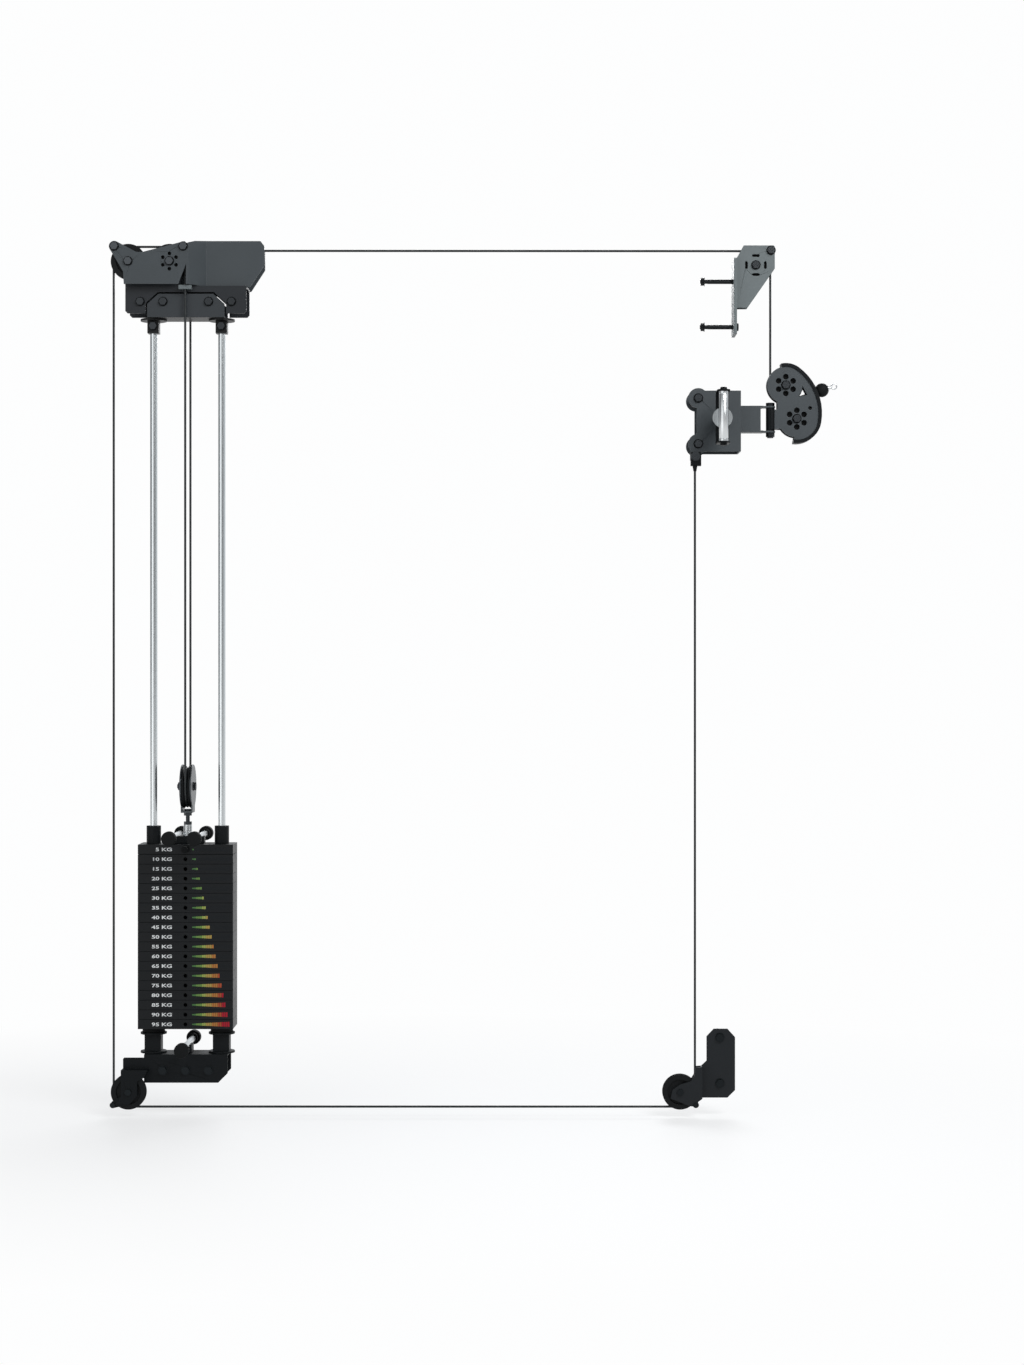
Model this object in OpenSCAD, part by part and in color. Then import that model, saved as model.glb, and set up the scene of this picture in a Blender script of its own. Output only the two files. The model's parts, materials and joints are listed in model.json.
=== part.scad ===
// Rack-mounted cable pulley attachment with a weight stack, in millimetres.
// Origin: middle of the lower stack bracket's bolts. +X to the front upright, +Z up, -Y the near side.

/* [Rack] */
// Width of the square rack tube that the brackets sit on
tube_w = 75; // [60:1:100]
// Height from the bottom beam's holes to the top beam's holes
beam_rise = 2020; // [1960:10:2200]
// Distance from the weight stack to the front upright's centre line
upright_x = 1403.4; // [1300:0.1:1600]
// Spacing of the holes along a beam
beam_pitch = 60; // [58:1:62]
// Spacing of a bracket's two bolts on an upright
upright_span = 120; // [100:10:130]

/* [Sheet steel] */
// Thickness of the bracket plates
plate_t = 4; // [3:0.5:5]
// Thickness of the upper front bracket's back plate
back_t = 8; // [6:0.5:10]

/* [Pulleys] */
// Radius of the cable's centre line on a standard pulley
pitch_r = 39.5; // [37:0.5:42]
// How far a pulley's rim stands out past the cable's centre line
rim_h = 6.5; // [5:0.5:8]
// Width of every pulley
pulley_w = 20; // [16:1:22]
// Gap between a pulley and each plate of its cage
cage_gap = 1.5; // [1:0.5:3]
// Radius of the cable's centre line on the floating pulley
float_pitch_r = 53; // [53:0.5:56]
// How far the floating pulley's rim stands out past the cable's centre line
float_rim_h = 4.5; // [4:0.5:6]

/* [Cable] */
// Diameter of the coated steel cable
cable_d = 6; // [4:0.5:7]
// Angle that the cable climbs at as it leaves the swivel head
exit_angle = 17; // [10:1:25]
// Radius of the rubber stopper ball
ball_r = 18.4; // [16:0.2:22]

/* [Fasteners] */
// Radius of the mounting bolts and pulley axles
bolt_r = 6; // [5:0.5:7]
// Height of a bolt head
head_h = 7; // [6:0.5:9]
// Width of a bolt head across its flats
head_af = 18; // [17:0.5:20]

/* [Weight stack] */
// Number of weight plates
plate_count = 19; // [12:1:20]
// Height taken by one weight plate
weight_pitch = 25.5; // [22:0.5:28]
// Width of a weight plate
weight_w = 250; // [240:2:260]
// Depth of a weight plate
weight_d = 100; // [90:2:104]
// Distance from the centre to each guide rod
rod_x = 90; // [85:1:95]
// Radius of a guide rod
rod_r = 9.5; // [8:0.5:11]
// Radius of the selector stem
stem_r = 11; // [10:0.5:12]
// Height of the floating pulley's axle above the top plate
float_rise = 151; // [140:1:170]

/* [Housing] */
// Distance from the centre to the housing's thin end
housing_reach = 204; // [198:1:212]
// Height of the housing's top edge above the near top axles
housing_rise = 61; // [57:1:66]
// Size of the cut corner at the top of the housing's thin end
housing_corner = 10; // [5:1:15]
// Length of the slant below the housing's thin end
housing_slant = 37; // [25:1:45]

/* [Lower supports] */
// Height of a support post
post_h = 44.5; // [35:0.5:60]
// Width of a support post
post_w = 43; // [36:1:48]
// Height of a rubber buffer
buffer_h = 13; // [8:0.5:20]

/* [Band pegs] */
// Distance from the centre to each upper band peg
peg_x = 33; // [31:1:36]
// Distance from the middle of a peg to its outer end
peg_reach = 138; // [120:1:150]
// Radius of a peg's rubber cap
peg_cap_r = 19; // [15:0.5:20]

/* [Trolley] */
// Height of the pull pin in its rest position
trolley_z = 1706; // [1500:2:1720]
// Height of the trolley's side plates
trolley_h = 160; // [150:2:180]
// Distance from the upright's centre line to the swivel pivot
pivot_reach = 136.6; // [130:0.2:150]
// Height of the swivel barrel
barrel_h = 60; // [50:1:66]
// Length of the pull handle's grip
grip_l = 130; // [110:2:140]
// Radius of the pull handle's grip
grip_r = 12.3; // [10:0.1:14]
// Travel of the pull pin
pin_travel = 28; // [22:1:30]

/* [Swivel head] */
// Height of the upper head pulley above the pull pin
head_upper_rise = 97.5; // [94:0.5:104]
// Height of the lower head pulley above the pull pin
head_lower_rise = 9; // [4:0.5:10]
// Distance from the pivot to the lower head pulley
head_lower_reach = 68.5; // [68:0.5:76]
// Thickness of the guard rim
rim_t = 9; // [6:0.5:12]

/* [Hidden] */
$fn = 64;

// Clearances
groove_gap = 0.3;
bearing_gap = 0.05;
rod_gap = 0.08;
hole_gap = 0.3;
mount_gap = 1.4;
seat_gap = 0.3;
slide_gap = 2;

// Rack faces and the two cable planes beside the tube
half = tube_w / 2;
skin = half + plate_t;
cable_y = max(skin + cage_gap + pulley_w / 2, float_pitch_r);
cable_r = cable_d / 2;
groove_r = cable_r + groove_gap;
rim_r = pitch_r + rim_h;
cage_in = cable_y + pulley_w / 2 + cage_gap;
cage_out = cage_in + plate_t;
thin_in = pulley_w / 2 + cage_gap + 1.5;

// Bolts
head_r = head_af / 2 / cos(30);
flange_r = head_r + 2;
flange_t = 1.5;
thread_r = bolt_r - 0.5;
nut_h = 10;
bolt_end = 2;
tie_r = 5;

// Pulley section
hub_r = 18;
web_t = 8;
rim_wall = 4;
lip = 2;
bearing_r = 14;
bearing_w = 8;

// Upper housing
top_face = beam_rise + half;
saddle_top = top_face + plate_t;
near_axle_z = saddle_top + 60.5;
far_axle_z = saddle_top + 68.5;
near_axle_x = -pitch_r;
rear_x = near_axle_x - 108.5;
far_axle_x = pitch_r;
saddle_half = 159;
saddle_bottom = beam_rise - 31;

// Rod holder
holder_half = 101.5;
holder_top = beam_rise + 20.5;
holder_side = beam_rise - 6;
holder_flat = 72;
holder_floor = beam_rise - half;
holder_gap = 4.5;
disc_r = 34.5;
disc_t = 5;
socket_w = 30;
socket_h = 32.5;
rod_top = holder_floor - plate_t - 2;
rod_bolt_z = holder_floor - plate_t - disc_t - 14;

// Lower stack bracket
bracket_half = 110;
bracket_bottom = -33;
bracket_chamfer = 25;
deck = skin;
lower_z = -54;
rear_ear_left = rear_x - 19;
rear_ear_right = rear_x + 51;
ear_top = 4;
ear_lobe_r = 8;
rod_bottom = deck;
post_base = deck + disc_t;
post_top = post_base + post_h;
buffer_z = post_top + disc_t;
stack_z = buffer_z + buffer_h;

// Weight stack
slab_gap = 0.4;
slab_t = weight_pitch - slab_gap;
stack_top = stack_z + plate_count * weight_pitch;
pin_hole_r = 4.8;
pin_hole_gap = 0.1;
collar_r = 19;
collar_h = 47;
stem_top = stack_top + 50;
peg_z = stack_top + 20;
peg_shaft_r = 8;
peg_cap_l = 24;
lower_peg_z = deck + 22.5;

// Floating pulley and its yoke
float_z = stack_top + float_rise;
float_rim_r = float_pitch_r + float_rim_h;
yoke_in = pulley_w / 2 + cage_gap;
yoke_out = yoke_in + plate_t;
yoke_foot = float_z - float_rim_r - 11.5;
yoke_half = 26;
stud_r = 5.3;

// Trolley
side_in = half + slide_gap;
side_out = side_in + plate_t;
pin_x = upright_x;
trolley_low = trolley_z - trolley_h / 2;
trolley_high = trolley_z + trolley_h / 2;
front_out = upright_x + half + 17.8;
roller_r = 19;
roller_x = upright_x - half - roller_r - seat_gap;
roller_rise = 60;
lobe_r = 26.5;
lower_front_x = upright_x - 105.9;
riser_x = lower_front_x + pitch_r;
anchor_z = trolley_low - 14.5;
anchor_low = anchor_z - 24.5;
ferrule_l = 14;

// Pull pin
pin_r = 8;
boss_r = 16;
spring_l = pin_travel + 2;
boss_end = side_out + 2 * spring_l + 12;
strap_y = boss_end + seat_gap;
strap_w = 34;
strap_t = 4;
disc_front_r = 26;
disc_front_t = 8;
grip_y = strap_y + 44;
arm_t = 4;

// Swivel arm and head
pivot_x = upright_x + pivot_reach;
pivot_r = 8;
barrel_r = 11.5;
barrel_mid = trolley_z + 8;
lug_gap = 0.4;
lug_t = 4.5;
lug_z = barrel_h / 2 + lug_gap;
arm_half = 19;
arm_end = pivot_x - 27;
lug_r = 13;
head_in = pulley_w / 2 + cage_gap + 1.5;
head_out = head_in + plate_t;
upper_x = pivot_x + pitch_r;
upper_z = trolley_z + head_upper_rise;
lower_x = pivot_x + head_lower_reach;
lower_head_z = trolley_z + head_lower_rise;
lobe_head_r = 49;
guard_upper_r = lobe_head_r + rim_t;
guard_lower_r = lobe_head_r + 7 + rim_t;
guard_bulge_r = 150;
guard_half = head_out + 3;

// Where the cable leaves the head, and the ball's seat on the guard's slot
exit_x = upper_x + pitch_r * sin(exit_angle);
exit_z = upper_z - pitch_r * cos(exit_angle);
slot_half = 12;
ball_seat = sqrt(pow(ball_r, 2) - pow(slot_half, 2)) + seat_gap;

// Upper front bracket
front_face = upright_x + half;
top_front_x = pivot_x - pitch_r;
top_front_z = beam_rise + 100;
top_front_bolt = beam_rise - 1.5;
front_back_low = beam_rise - 84;
front_back_high = beam_rise + 116;
front_cheek_x = front_face + back_t;
front_in = pulley_w / 2 + cage_gap + 1.5;

// Lower front bracket
lower_front_bolt = 26.5;

// Centre of the guard's bulging arc, which holds both end arcs inside it
bulge_a = guard_bulge_r - guard_upper_r;
bulge_b = guard_bulge_r - guard_lower_r;
axle_dx = lower_x - upper_x;
axle_dz = lower_head_z - upper_z;
axle_gap = sqrt(axle_dx * axle_dx + axle_dz * axle_dz);
bulge_s = (bulge_a * bulge_a - bulge_b * bulge_b + axle_gap * axle_gap) / (2 * axle_gap);
bulge_h = sqrt(bulge_a * bulge_a - bulge_s * bulge_s);
bulge_x = upper_x + (bulge_s * axle_dx + bulge_h * axle_dz) / axle_gap;
bulge_z = upper_z + (bulge_s * axle_dz - bulge_h * axle_dx) / axle_gap;
bulge_from = atan2(upper_z - bulge_z, upper_x - bulge_x);
bulge_to = atan2(lower_head_z - bulge_z, lower_x - bulge_x);
guard_start = 103;
guard_stop = -98;

// Distance along the cable's exit line from where it leaves the pulley to the guard's outer face
exit_dx = exit_x - bulge_x;
exit_dz = exit_z - bulge_z;
exit_along = exit_dx * cos(exit_angle) + exit_dz * sin(exit_angle);
exit_off = exit_dx * exit_dx + exit_dz * exit_dz;
exit_len = sqrt(exit_along * exit_along - exit_off + guard_bulge_r * guard_bulge_r) - exit_along;
ball_along = exit_len + ball_seat;
ball_flat = ball_r - 2;
stub_from = exit_len / 2;
neck_r = 4;
eye_r = 9;
eye_t = 7;
eye_bore_r = 5;
eye_along = ball_along + ball_r + 6 + eye_r;

// Turns a shape drawn on Z so that its +Z points along +Y, at a given point
module along_y(x, y, z) {
    translate([x, y, z])
        rotate([-90, 0, 0])
            children();
}

// Extrudes an outline drawn in X and Z from y_low to y_high
module side_plate(y_low, y_high) {
    translate([0, y_high, 0])
        rotate([90, 0, 0])
            linear_extrude(height = y_high - y_low)
                children();
}

// A flanged bolt whose head bears at z = 0, with its nut past the grip
module flange_bolt(grip, radius = bolt_r, thread = thread_r, plain = 0) {
    shank = plain > 0 ? plain : grip - 8;
    translate([0, 0, -head_h])
        cylinder(r = head_r, h = head_h, $fn = 6);
    translate([0, 0, -flange_t])
        cylinder(r = flange_r, h = flange_t);
    cylinder(r = radius, h = shank);
    cylinder(r = thread, h = grip + nut_h + bolt_end);
    translate([0, 0, grip])
        nut(thread);
}

// A flange nut standing on z = 0
module nut(thread) {
    difference() {
        union() {
            cylinder(r = head_r, h = nut_h, $fn = 6);
            cylinder(r = flange_r, h = flange_t);
        }
        translate([0, 0, -1])
            cylinder(r = thread + bearing_gap, h = nut_h + 2);
    }
}

// A cable wheel on Z with its two bearings
module pulley(pitch, rim) {
    rim_in = pitch - groove_r - rim_wall;
    side = pulley_w / 2;
    difference() {
        rotate_extrude()
            polygon([
                [bearing_r, -side], [hub_r, -side], [hub_r, -web_t / 2],
                [rim_in, -web_t / 2], [rim_in, -side], [rim, -side], [rim, lip - side],
                [pitch, -groove_r], [pitch, groove_r], [rim, side - lip], [rim, side],
                [rim_in, side], [rim_in, web_t / 2], [hub_r, web_t / 2], [hub_r, side],
                [bearing_r, side],
            ]);
        rotate_extrude()
            translate([pitch, 0])
                circle(r = groove_r);
    }
    for (z = [-side, side - bearing_w])
        translate([0, 0, z])
            difference() {
                cylinder(r = bearing_r - bearing_gap, h = bearing_w);
                translate([0, 0, -1])
                    cylinder(r = bolt_r + bearing_gap, h = bearing_w + 2);
            }
}

// A standard pulley that turns about Y
module side_pulley(x, y, z) {
    color("#17191b")
        along_y(x, y, z)
            pulley(pitch_r, rim_r);
}

// A bend of cable about Y, from an angle measured from +X towards +Z
module cable_bend(x, y, z, from, sweep) {
    translate([x, y, z])
        rotate([90, 0, 0])
            rotate([0, 0, from])
                rotate_extrude(angle = sweep)
                    translate([pitch_r, 0])
                        circle(r = cable_r);
}

// A straight run of cable between two points
module cable_run(a, b) {
    d = b - a;
    length = norm(d);
    translate(a)
        rotate([0, acos(d[2] / length), atan2(d[1], d[0])])
            cylinder(r = cable_r, h = length);
}

// A round hole through a side plate
module side_hole(x, z, r) {
    translate([x, z])
        circle(r = r);
}

// Six small holes round an axle
module hole_ring(x, z, ring_r, hole_r) {
    for (a = [30 : 60 : 330])
        side_hole(x + ring_r * cos(a), z + ring_r * sin(a), hole_r);
}

// Outline of the rod holder's side, grown by a margin
module holder_outline(grow = 0) {
    polygon([
        [-holder_half - grow, holder_floor - plate_t - grow],
        [-holder_half - grow, holder_side + grow * 0.4],
        [-holder_flat - grow * 0.4, holder_top + grow],
        [holder_flat + grow * 0.4, holder_top + grow],
        [holder_half + grow, holder_side + grow * 0.4],
        [holder_half + grow, holder_floor - plate_t - grow],
    ]);
}

// Outline of the cheek that carries the two near top pulleys
module near_cheek_outline(bottom = saddle_top - 1) {
    polygon(concat(
        [[rear_x - 11, bottom], [rear_x - 13, near_axle_z - 27]],
        arc_points(rear_x - 36, near_axle_z + 39, 14, 211, 62, 12),
        [
            [rear_x + 22, near_axle_z + 24], [rear_x + 38, near_axle_z + 24],
            [near_axle_x + 38, near_axle_z + 52], [1, near_axle_z + 52],
            [5, near_axle_z + 47], [5, near_axle_z - 7], [-16, bottom],
        ]
    ));
}

// The four mounting holes of the upper saddle's side, at the beam holes
module beam_holes() {
    for (x = [-2, -1, 1, 2])
        side_hole(x * beam_pitch, beam_rise, bolt_r + mount_gap);
}

module upper_saddle() {
    color("#3c4146") {
        for (side = [-1, 1])
            side_plate(side > 0 ? half : -skin, side > 0 ? skin : -half)
                difference() {
                    polygon([
                        [-saddle_half, saddle_top], [-saddle_half, saddle_bottom + 6],
                        [-saddle_half + 6, saddle_bottom], [saddle_half - 6, saddle_bottom],
                        [saddle_half, saddle_bottom + 6], [saddle_half, saddle_top],
                    ]);
                    holder_outline(holder_gap);
                    translate([-holder_half - holder_gap, saddle_bottom - 1])
                        square([2 * (holder_half + holder_gap), 4]);
                    beam_holes();
                }
        translate([-saddle_half, -skin, top_face])
            cube([2 * saddle_half, 2 * skin, plate_t]);
        side_plate(-skin, -half)
            difference() {
                near_cheek_outline();
                side_hole(rear_x, near_axle_z, bolt_r + hole_gap);
                side_hole(near_axle_x, near_axle_z, bolt_r + hole_gap);
                side_hole(rear_x - 36, near_axle_z + 39, tie_r + hole_gap);
                side_hole(near_axle_x + 36, near_axle_z + 39, tie_r + hole_gap);
            }
        side_plate(half, skin)
            difference() {
                far_cheek_outline();
                side_hole(far_axle_x, far_axle_z, bolt_r + hole_gap);
                side_hole(far_axle_x - 38, far_axle_z + 38, tie_r + hole_gap);
            }
    }
}

// Outline of the cheek that carries the far top pulley
module far_cheek_outline() {
    polygon([
        [far_axle_x - 50, saddle_top - 1], [far_axle_x - 50, far_axle_z + 50],
        [far_axle_x + 20, far_axle_z + 50], [far_axle_x + 56, far_axle_z + 20],
        [far_axle_x + 56, saddle_top - 1],
    ]);
}

// Outline of the long thin end of the housing
module housing_end_outline() {
    polygon([
        [-3, saddle_top + 0.5], [-3, near_axle_z + 46], [5, near_axle_z + 47],
        [25, near_axle_z + housing_rise - 5], [50, near_axle_z + housing_rise],
        [housing_reach - housing_corner, near_axle_z + housing_rise],
        [housing_reach, near_axle_z + housing_rise - 1.3 * housing_corner],
        [housing_reach, near_axle_z - 3], [housing_reach - housing_slant, saddle_top + 0.5],
    ]);
}

module housing_near_plate() {
    bend_a = 8;
    bend_b = 50;
    color("#43484d")
        difference() {
            intersection() {
                translate([0, 0, saddle_top - 2])
                    linear_extrude(height = near_axle_z - saddle_top + housing_rise + 20)
                        polygon([
                            [rear_x - 60, -cage_out], [bend_a + 2, -cage_out],
                            [bend_b + 1, -thin_in - plate_t - 2],
                            [housing_reach + 6, -thin_in - plate_t - 2],
                            [housing_reach + 6, -thin_in - 2], [bend_b - 1, -thin_in - 2],
                            [bend_a, -cage_in], [rear_x - 60, -cage_in],
                        ]);
                side_plate(-cage_out - 1, 0)
                    difference() {
                        union() {
                            near_cheek_outline(saddle_top + 0.5);
                            housing_end_outline();
                        }
                        polygon([[-17, saddle_top - 1], [4, near_axle_z - 7], [3, saddle_top - 1]]);
                    }
            }
            along_y(rear_x, -cage_out - 1, near_axle_z)
                cylinder(r = bolt_r + hole_gap, h = plate_t + 2);
            along_y(near_axle_x, -cage_out - 1, near_axle_z)
                cylinder(r = bolt_r + hole_gap, h = plate_t + 2);
            along_y(rear_x - 36, -cage_out - 1, near_axle_z + 39)
                cylinder(r = tie_r + hole_gap, h = plate_t + 2);
            along_y(near_axle_x + 36, -cage_out - 1, near_axle_z + 39)
                cylinder(r = tie_r + hole_gap, h = plate_t + 2);
            side_plate(-cage_out - 1, -cage_in + 1)
                hole_ring(near_axle_x, near_axle_z, 20, 4.7);
        }
}

module housing_far_plate() {
    far_reach = housing_reach - 6;
    color("#43484d")
        side_plate(cage_in, cage_out)
            difference() {
                polygon([
                    [far_axle_x - 86, saddle_top + 0.5], [far_axle_x - 86, near_axle_z + 54],
                    [4, near_axle_z + 54], [25, near_axle_z + housing_rise],
                    [far_reach - housing_corner, near_axle_z + housing_rise],
                    [far_reach, near_axle_z + housing_rise - 1.3 * housing_corner],
                    [far_reach, near_axle_z - 3], [far_reach - housing_slant, saddle_top + 0.5],
                ]);
                side_hole(far_axle_x, far_axle_z, bolt_r + hole_gap);
                side_hole(far_axle_x - 38, far_axle_z + 38, tie_r + hole_gap);
            }
}

// Axle bolts and cable-keeping tie bolts of the three top pulleys
module housing_bolts() {
    grip = cage_out - half;
    color("#2c2f32") {
        for (x = [rear_x, near_axle_x])
            along_y(x, -cage_out, near_axle_z)
                flange_bolt(grip);
        for (x = [rear_x - 36, near_axle_x + 36])
            along_y(x, -cage_out, near_axle_z + 39)
                flange_bolt(grip, tie_r, tie_r - 0.5);
        along_y(far_axle_x, cage_out, far_axle_z)
            mirror([0, 0, 1])
                flange_bolt(grip);
        along_y(far_axle_x - 38, cage_out, far_axle_z + 38)
            mirror([0, 0, 1])
                flange_bolt(grip, tie_r, tie_r - 0.5);
    }
}

module rod_holder() {
    color("#33383b")
        difference() {
            union() {
                for (y = [-skin, half])
                    side_plate(y, y + plate_t)
                        difference() {
                            holder_outline();
                            for (x = [-1, 1])
                                side_hole(x * beam_pitch, beam_rise, bolt_r + mount_gap);
                        }
                translate([-holder_half, -skin, holder_floor - plate_t])
                    cube([2 * holder_half, 2 * skin, plate_t]);
                for (x = [-rod_x, rod_x]) {
                    translate([x, 0, holder_floor - plate_t - disc_t])
                        cylinder(r = disc_r, h = disc_t);
                    translate([x - socket_w / 2, -socket_w / 2, holder_floor - plate_t - disc_t - socket_h])
                        cube([socket_w, socket_w, socket_h]);
                }
            }
            for (x = [-rod_x, rod_x]) {
                translate([x, 0, holder_floor - 80])
                    cylinder(r = rod_r + rod_gap, h = 80 - plate_t - 1.5);
                along_y(x, -socket_w, rod_bolt_z)
                    cylinder(r = tie_r + hole_gap, h = 2 * socket_w);
            }
        }
}

// Bolts through the top beam
module beam_bolts() {
    color("#2c2f32")
        for (x = [-2, -1, 1, 2])
            along_y(x * beam_pitch, -skin, beam_rise)
                flange_bolt(2 * skin, plain = 2 * skin - plate_t - 1);
}

// Bolts that hold the guide rods in their sockets
module rod_bolts() {
    color("#2c2f32")
        for (x = [-rod_x, rod_x])
            along_y(x, -socket_w / 2, rod_bolt_z)
                flange_bolt(socket_w, tie_r, tie_r - 0.5);
}

// Blocks on the saddle that keep each fall of cable in line
module fall_guides() {
    guide_out = cable_y + 8;
    color("#56595b")
        for (side = [-1, 1])
            difference() {
                translate([-17, side > 0 ? skin : -guide_out, top_face - 7.5])
                    cube([34, guide_out - skin, 11]);
                translate([0, side * cable_y, top_face - 10])
                    cylinder(r = cable_r + 1.2, h = 20);
            }
}

module guide_rods() {
    color("#c9cdd0")
        for (x = [-rod_x, rod_x])
            difference() {
                translate([x, 0, rod_bottom])
                    cylinder(r = rod_r, h = rod_top - rod_bottom);
                along_y(x, -rod_r - 1, rod_bolt_z)
                    cylinder(r = tie_r + hole_gap, h = 2 * rod_r + 2);
            }
}

// Outline of the ear that holds the lower rear pulley
module rear_ear_outline(top) {
    difference() {
        union() {
            polygon([
                [rear_ear_left, top], [rear_ear_right, top], [rear_x + 42, -16],
                [rear_x + 24, -26], [rear_x + 24, lower_z - 10], [rear_x + 4, lower_z - 32],
                [rear_x - 38, lower_z - 41], [rear_x - 46, lower_z - 29],
                [rear_ear_left, lower_z - 10],
            ]);
            translate([rear_x - 40, lower_z - 33.5])
                circle(r = ear_lobe_r);
        }
        side_hole(rear_x, lower_z, bolt_r + hole_gap);
        side_hole(rear_x - 40, lower_z - 33.5, tie_r - 1 + hole_gap);
    }
}

module lower_bracket() {
    color("#1f2224") {
        for (y = [-skin, half])
            side_plate(y, y + plate_t)
                difference() {
                    polygon([
                        [-bracket_half, bracket_bottom], [-bracket_half, deck],
                        [bracket_half, deck], [bracket_half, bracket_bottom + bracket_chamfer],
                        [bracket_half - bracket_chamfer, bracket_bottom],
                    ]);
                    for (x = [-1, 0, 1])
                        side_hole(x * beam_pitch, 0, bolt_r + mount_gap);
                }
        translate([-bracket_half, -skin, half])
            cube([2 * bracket_half, 2 * skin, plate_t]);
        side_plate(-skin, -half)
            polygon([
                [rear_ear_left + 2, -1], [rear_ear_left + 2, 30], [rear_ear_left + 5, 33],
                [-bracket_half + 1, 33], [-bracket_half + 1, -1],
            ]);
        side_plate(-skin, -half)
            rear_ear_outline(0);
        side_plate(-cage_out, -cage_in)
            rear_ear_outline(ear_top);
        translate([rear_ear_left, -cage_out, 0])
            cube([rear_ear_right - rear_ear_left, cage_out - half, ear_top]);
    }
}

// Bolts through the bottom beam, and the lower rear pulley's axle and cable-keeping pin
module lower_bracket_bolts() {
    color("#1c1e20") {
        for (x = [-1, 0, 1])
            along_y(x * beam_pitch, -skin, 0)
                flange_bolt(2 * skin, plain = 2 * skin - plate_t - 1);
        along_y(rear_x, -cage_out, lower_z)
            axle_screw(cage_out - half);
        along_y(rear_x - 40, -cage_out, lower_z - 33.5)
            tie_pin(cage_out - half);
    }
}

// A shouldered axle with a low head, flush at its far end
module axle_screw(grip) {
    translate([0, 0, -4])
        cylinder(r = head_r - 1, h = 4, $fn = 6);
    cylinder(r = bolt_r, h = grip);
}

// A thin pin across a cage that keeps the cable in its groove
module tie_pin(grip) {
    translate([0, 0, -3])
        cylinder(r = 6.5, h = 3);
    cylinder(r = tie_r - 1, h = grip);
}

module stack_posts() {
    color("#1c1f21")
        for (x = [-rod_x, rod_x])
            difference() {
                union() {
                    translate([x, 0, deck])
                        cylinder(r = disc_r, h = disc_t);
                    translate([x - post_w / 2, -post_w / 2, post_base])
                        cube([post_w, post_w, post_h]);
                    translate([x, 0, post_top])
                        cylinder(r = disc_r, h = disc_t);
                }
                translate([x, 0, deck - 1])
                    cylinder(r = rod_r + rod_gap, h = post_h + 2 * disc_t + 2);
            }
}

module stack_buffers() {
    color("#121314")
        for (x = [-rod_x, rod_x])
            translate([x, 0, buffer_z])
                difference() {
                    cylinder(r = 29.5, h = buffer_h - seat_gap);
                    translate([0, 0, -1])
                        cylinder(r = rod_r + hole_gap, h = buffer_h + 2);
                }
}

// One band peg along Y: a steel bar with a rubber cap at each end
module band_peg(x, z) {
    along_y(x, -peg_reach, z) {
        color("#c9cdd0")
            cylinder(r = peg_shaft_r, h = 2 * peg_reach);
        color("#151617")
            for (end = [0, 2 * peg_reach - peg_cap_l])
                translate([0, 0, end])
                    cylinder(r = peg_cap_r, h = peg_cap_l);
    }
}

module lower_band_peg() {
    band_peg(0, lower_peg_z);
    color("#1c1f21")
        translate([-13, -22, deck])
            cube([26, 44, lower_peg_z - deck]);
}

// Outline of the ear that holds the lower front pulley
module front_ear_outline() {
    difference() {
        union() {
            polygon([
                [lower_front_x + 58, lower_z - 17], [lower_front_x + 58, lower_z + 66],
                [lower_front_x + 40, lower_z + 65], [lower_front_x + 39, lower_z + 47],
                [lower_front_x + 28, lower_z + 29], [lower_front_x + 1, lower_z + 21],
                [lower_front_x - 20, lower_z + 7], [lower_front_x - 25, lower_z - 16],
                [lower_front_x + 25, lower_z - 36], [lower_front_x + 44, lower_z - 38],
                [lower_front_x + 47, lower_z - 25],
            ]);
            translate([lower_front_x + 41, lower_z - 33])
                circle(r = ear_lobe_r);
        }
        side_hole(lower_front_x, lower_z, bolt_r + hole_gap);
        side_hole(lower_front_x + 41, lower_z - 33, tie_r - 1 + hole_gap);
    }
}

module lower_front_bracket() {
    mid_x = upright_x + 2;
    color("#26292b") {
        side_plate(-skin, -half)
            difference() {
                polygon([
                    [mid_x - 18, lower_z + 163], [mid_x + 18, lower_z + 163],
                    [mid_x + 38, lower_z + 141], [mid_x + 38, lower_z + 2],
                    [mid_x + 18, lower_z - 18], [lower_front_x + 57, lower_z - 18],
                    [lower_front_x + 57, lower_z + 66], [mid_x - 37, lower_z + 79],
                    [mid_x - 37, lower_z + 143],
                ]);
                for (s = [-1, 1])
                    side_hole(upright_x, lower_front_bolt + s * upright_span / 2, bolt_r + mount_gap);
            }
        side_plate(-skin, -half)
            front_ear_outline();
        side_plate(-cage_out, -cage_in)
            front_ear_outline();
        translate([lower_front_x + 54, -cage_out, lower_z - 17])
            cube([plate_t, cage_out - half, 83]);
    }
}

module lower_front_bolts() {
    color("#1c1e20") {
        for (s = [-1, 1])
            along_y(upright_x, -skin, lower_front_bolt + s * upright_span / 2)
                flange_bolt(skin + half, plain = tube_w);
        along_y(lower_front_x, -cage_out, lower_z)
            axle_screw(cage_out - half);
        along_y(lower_front_x + 41, -cage_out, lower_z - 33)
            tie_pin(cage_out - half);
    }
}

// Outline of one cheek of the upper front bracket, with its four slots
module front_cheek_outline() {
    difference() {
        polygon([
            [front_cheek_x, top_front_z - 112], [top_front_x - 22, top_front_z - 112],
            [top_front_x + 50, top_front_z - 9], [top_front_x + 50, top_front_z + 49],
            [top_front_x + 47, top_front_z + 52], [top_front_x - 32, top_front_z + 52],
            [front_cheek_x, top_front_z + 17],
        ]);
        side_hole(top_front_x, top_front_z, bolt_r + hole_gap);
        side_hole(top_front_x + 40, top_front_z + 39, tie_r + hole_gap);
        for (a = [0 : 90 : 270])
            translate([top_front_x, top_front_z])
                rotate(a)
                    translate([25, 0]) {
                        square([7, 13], center = true);
                        for (s = [-1, 1])
                            translate([0, s * 6.5])
                                circle(r = 3.5);
                    }
    }
}

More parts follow.
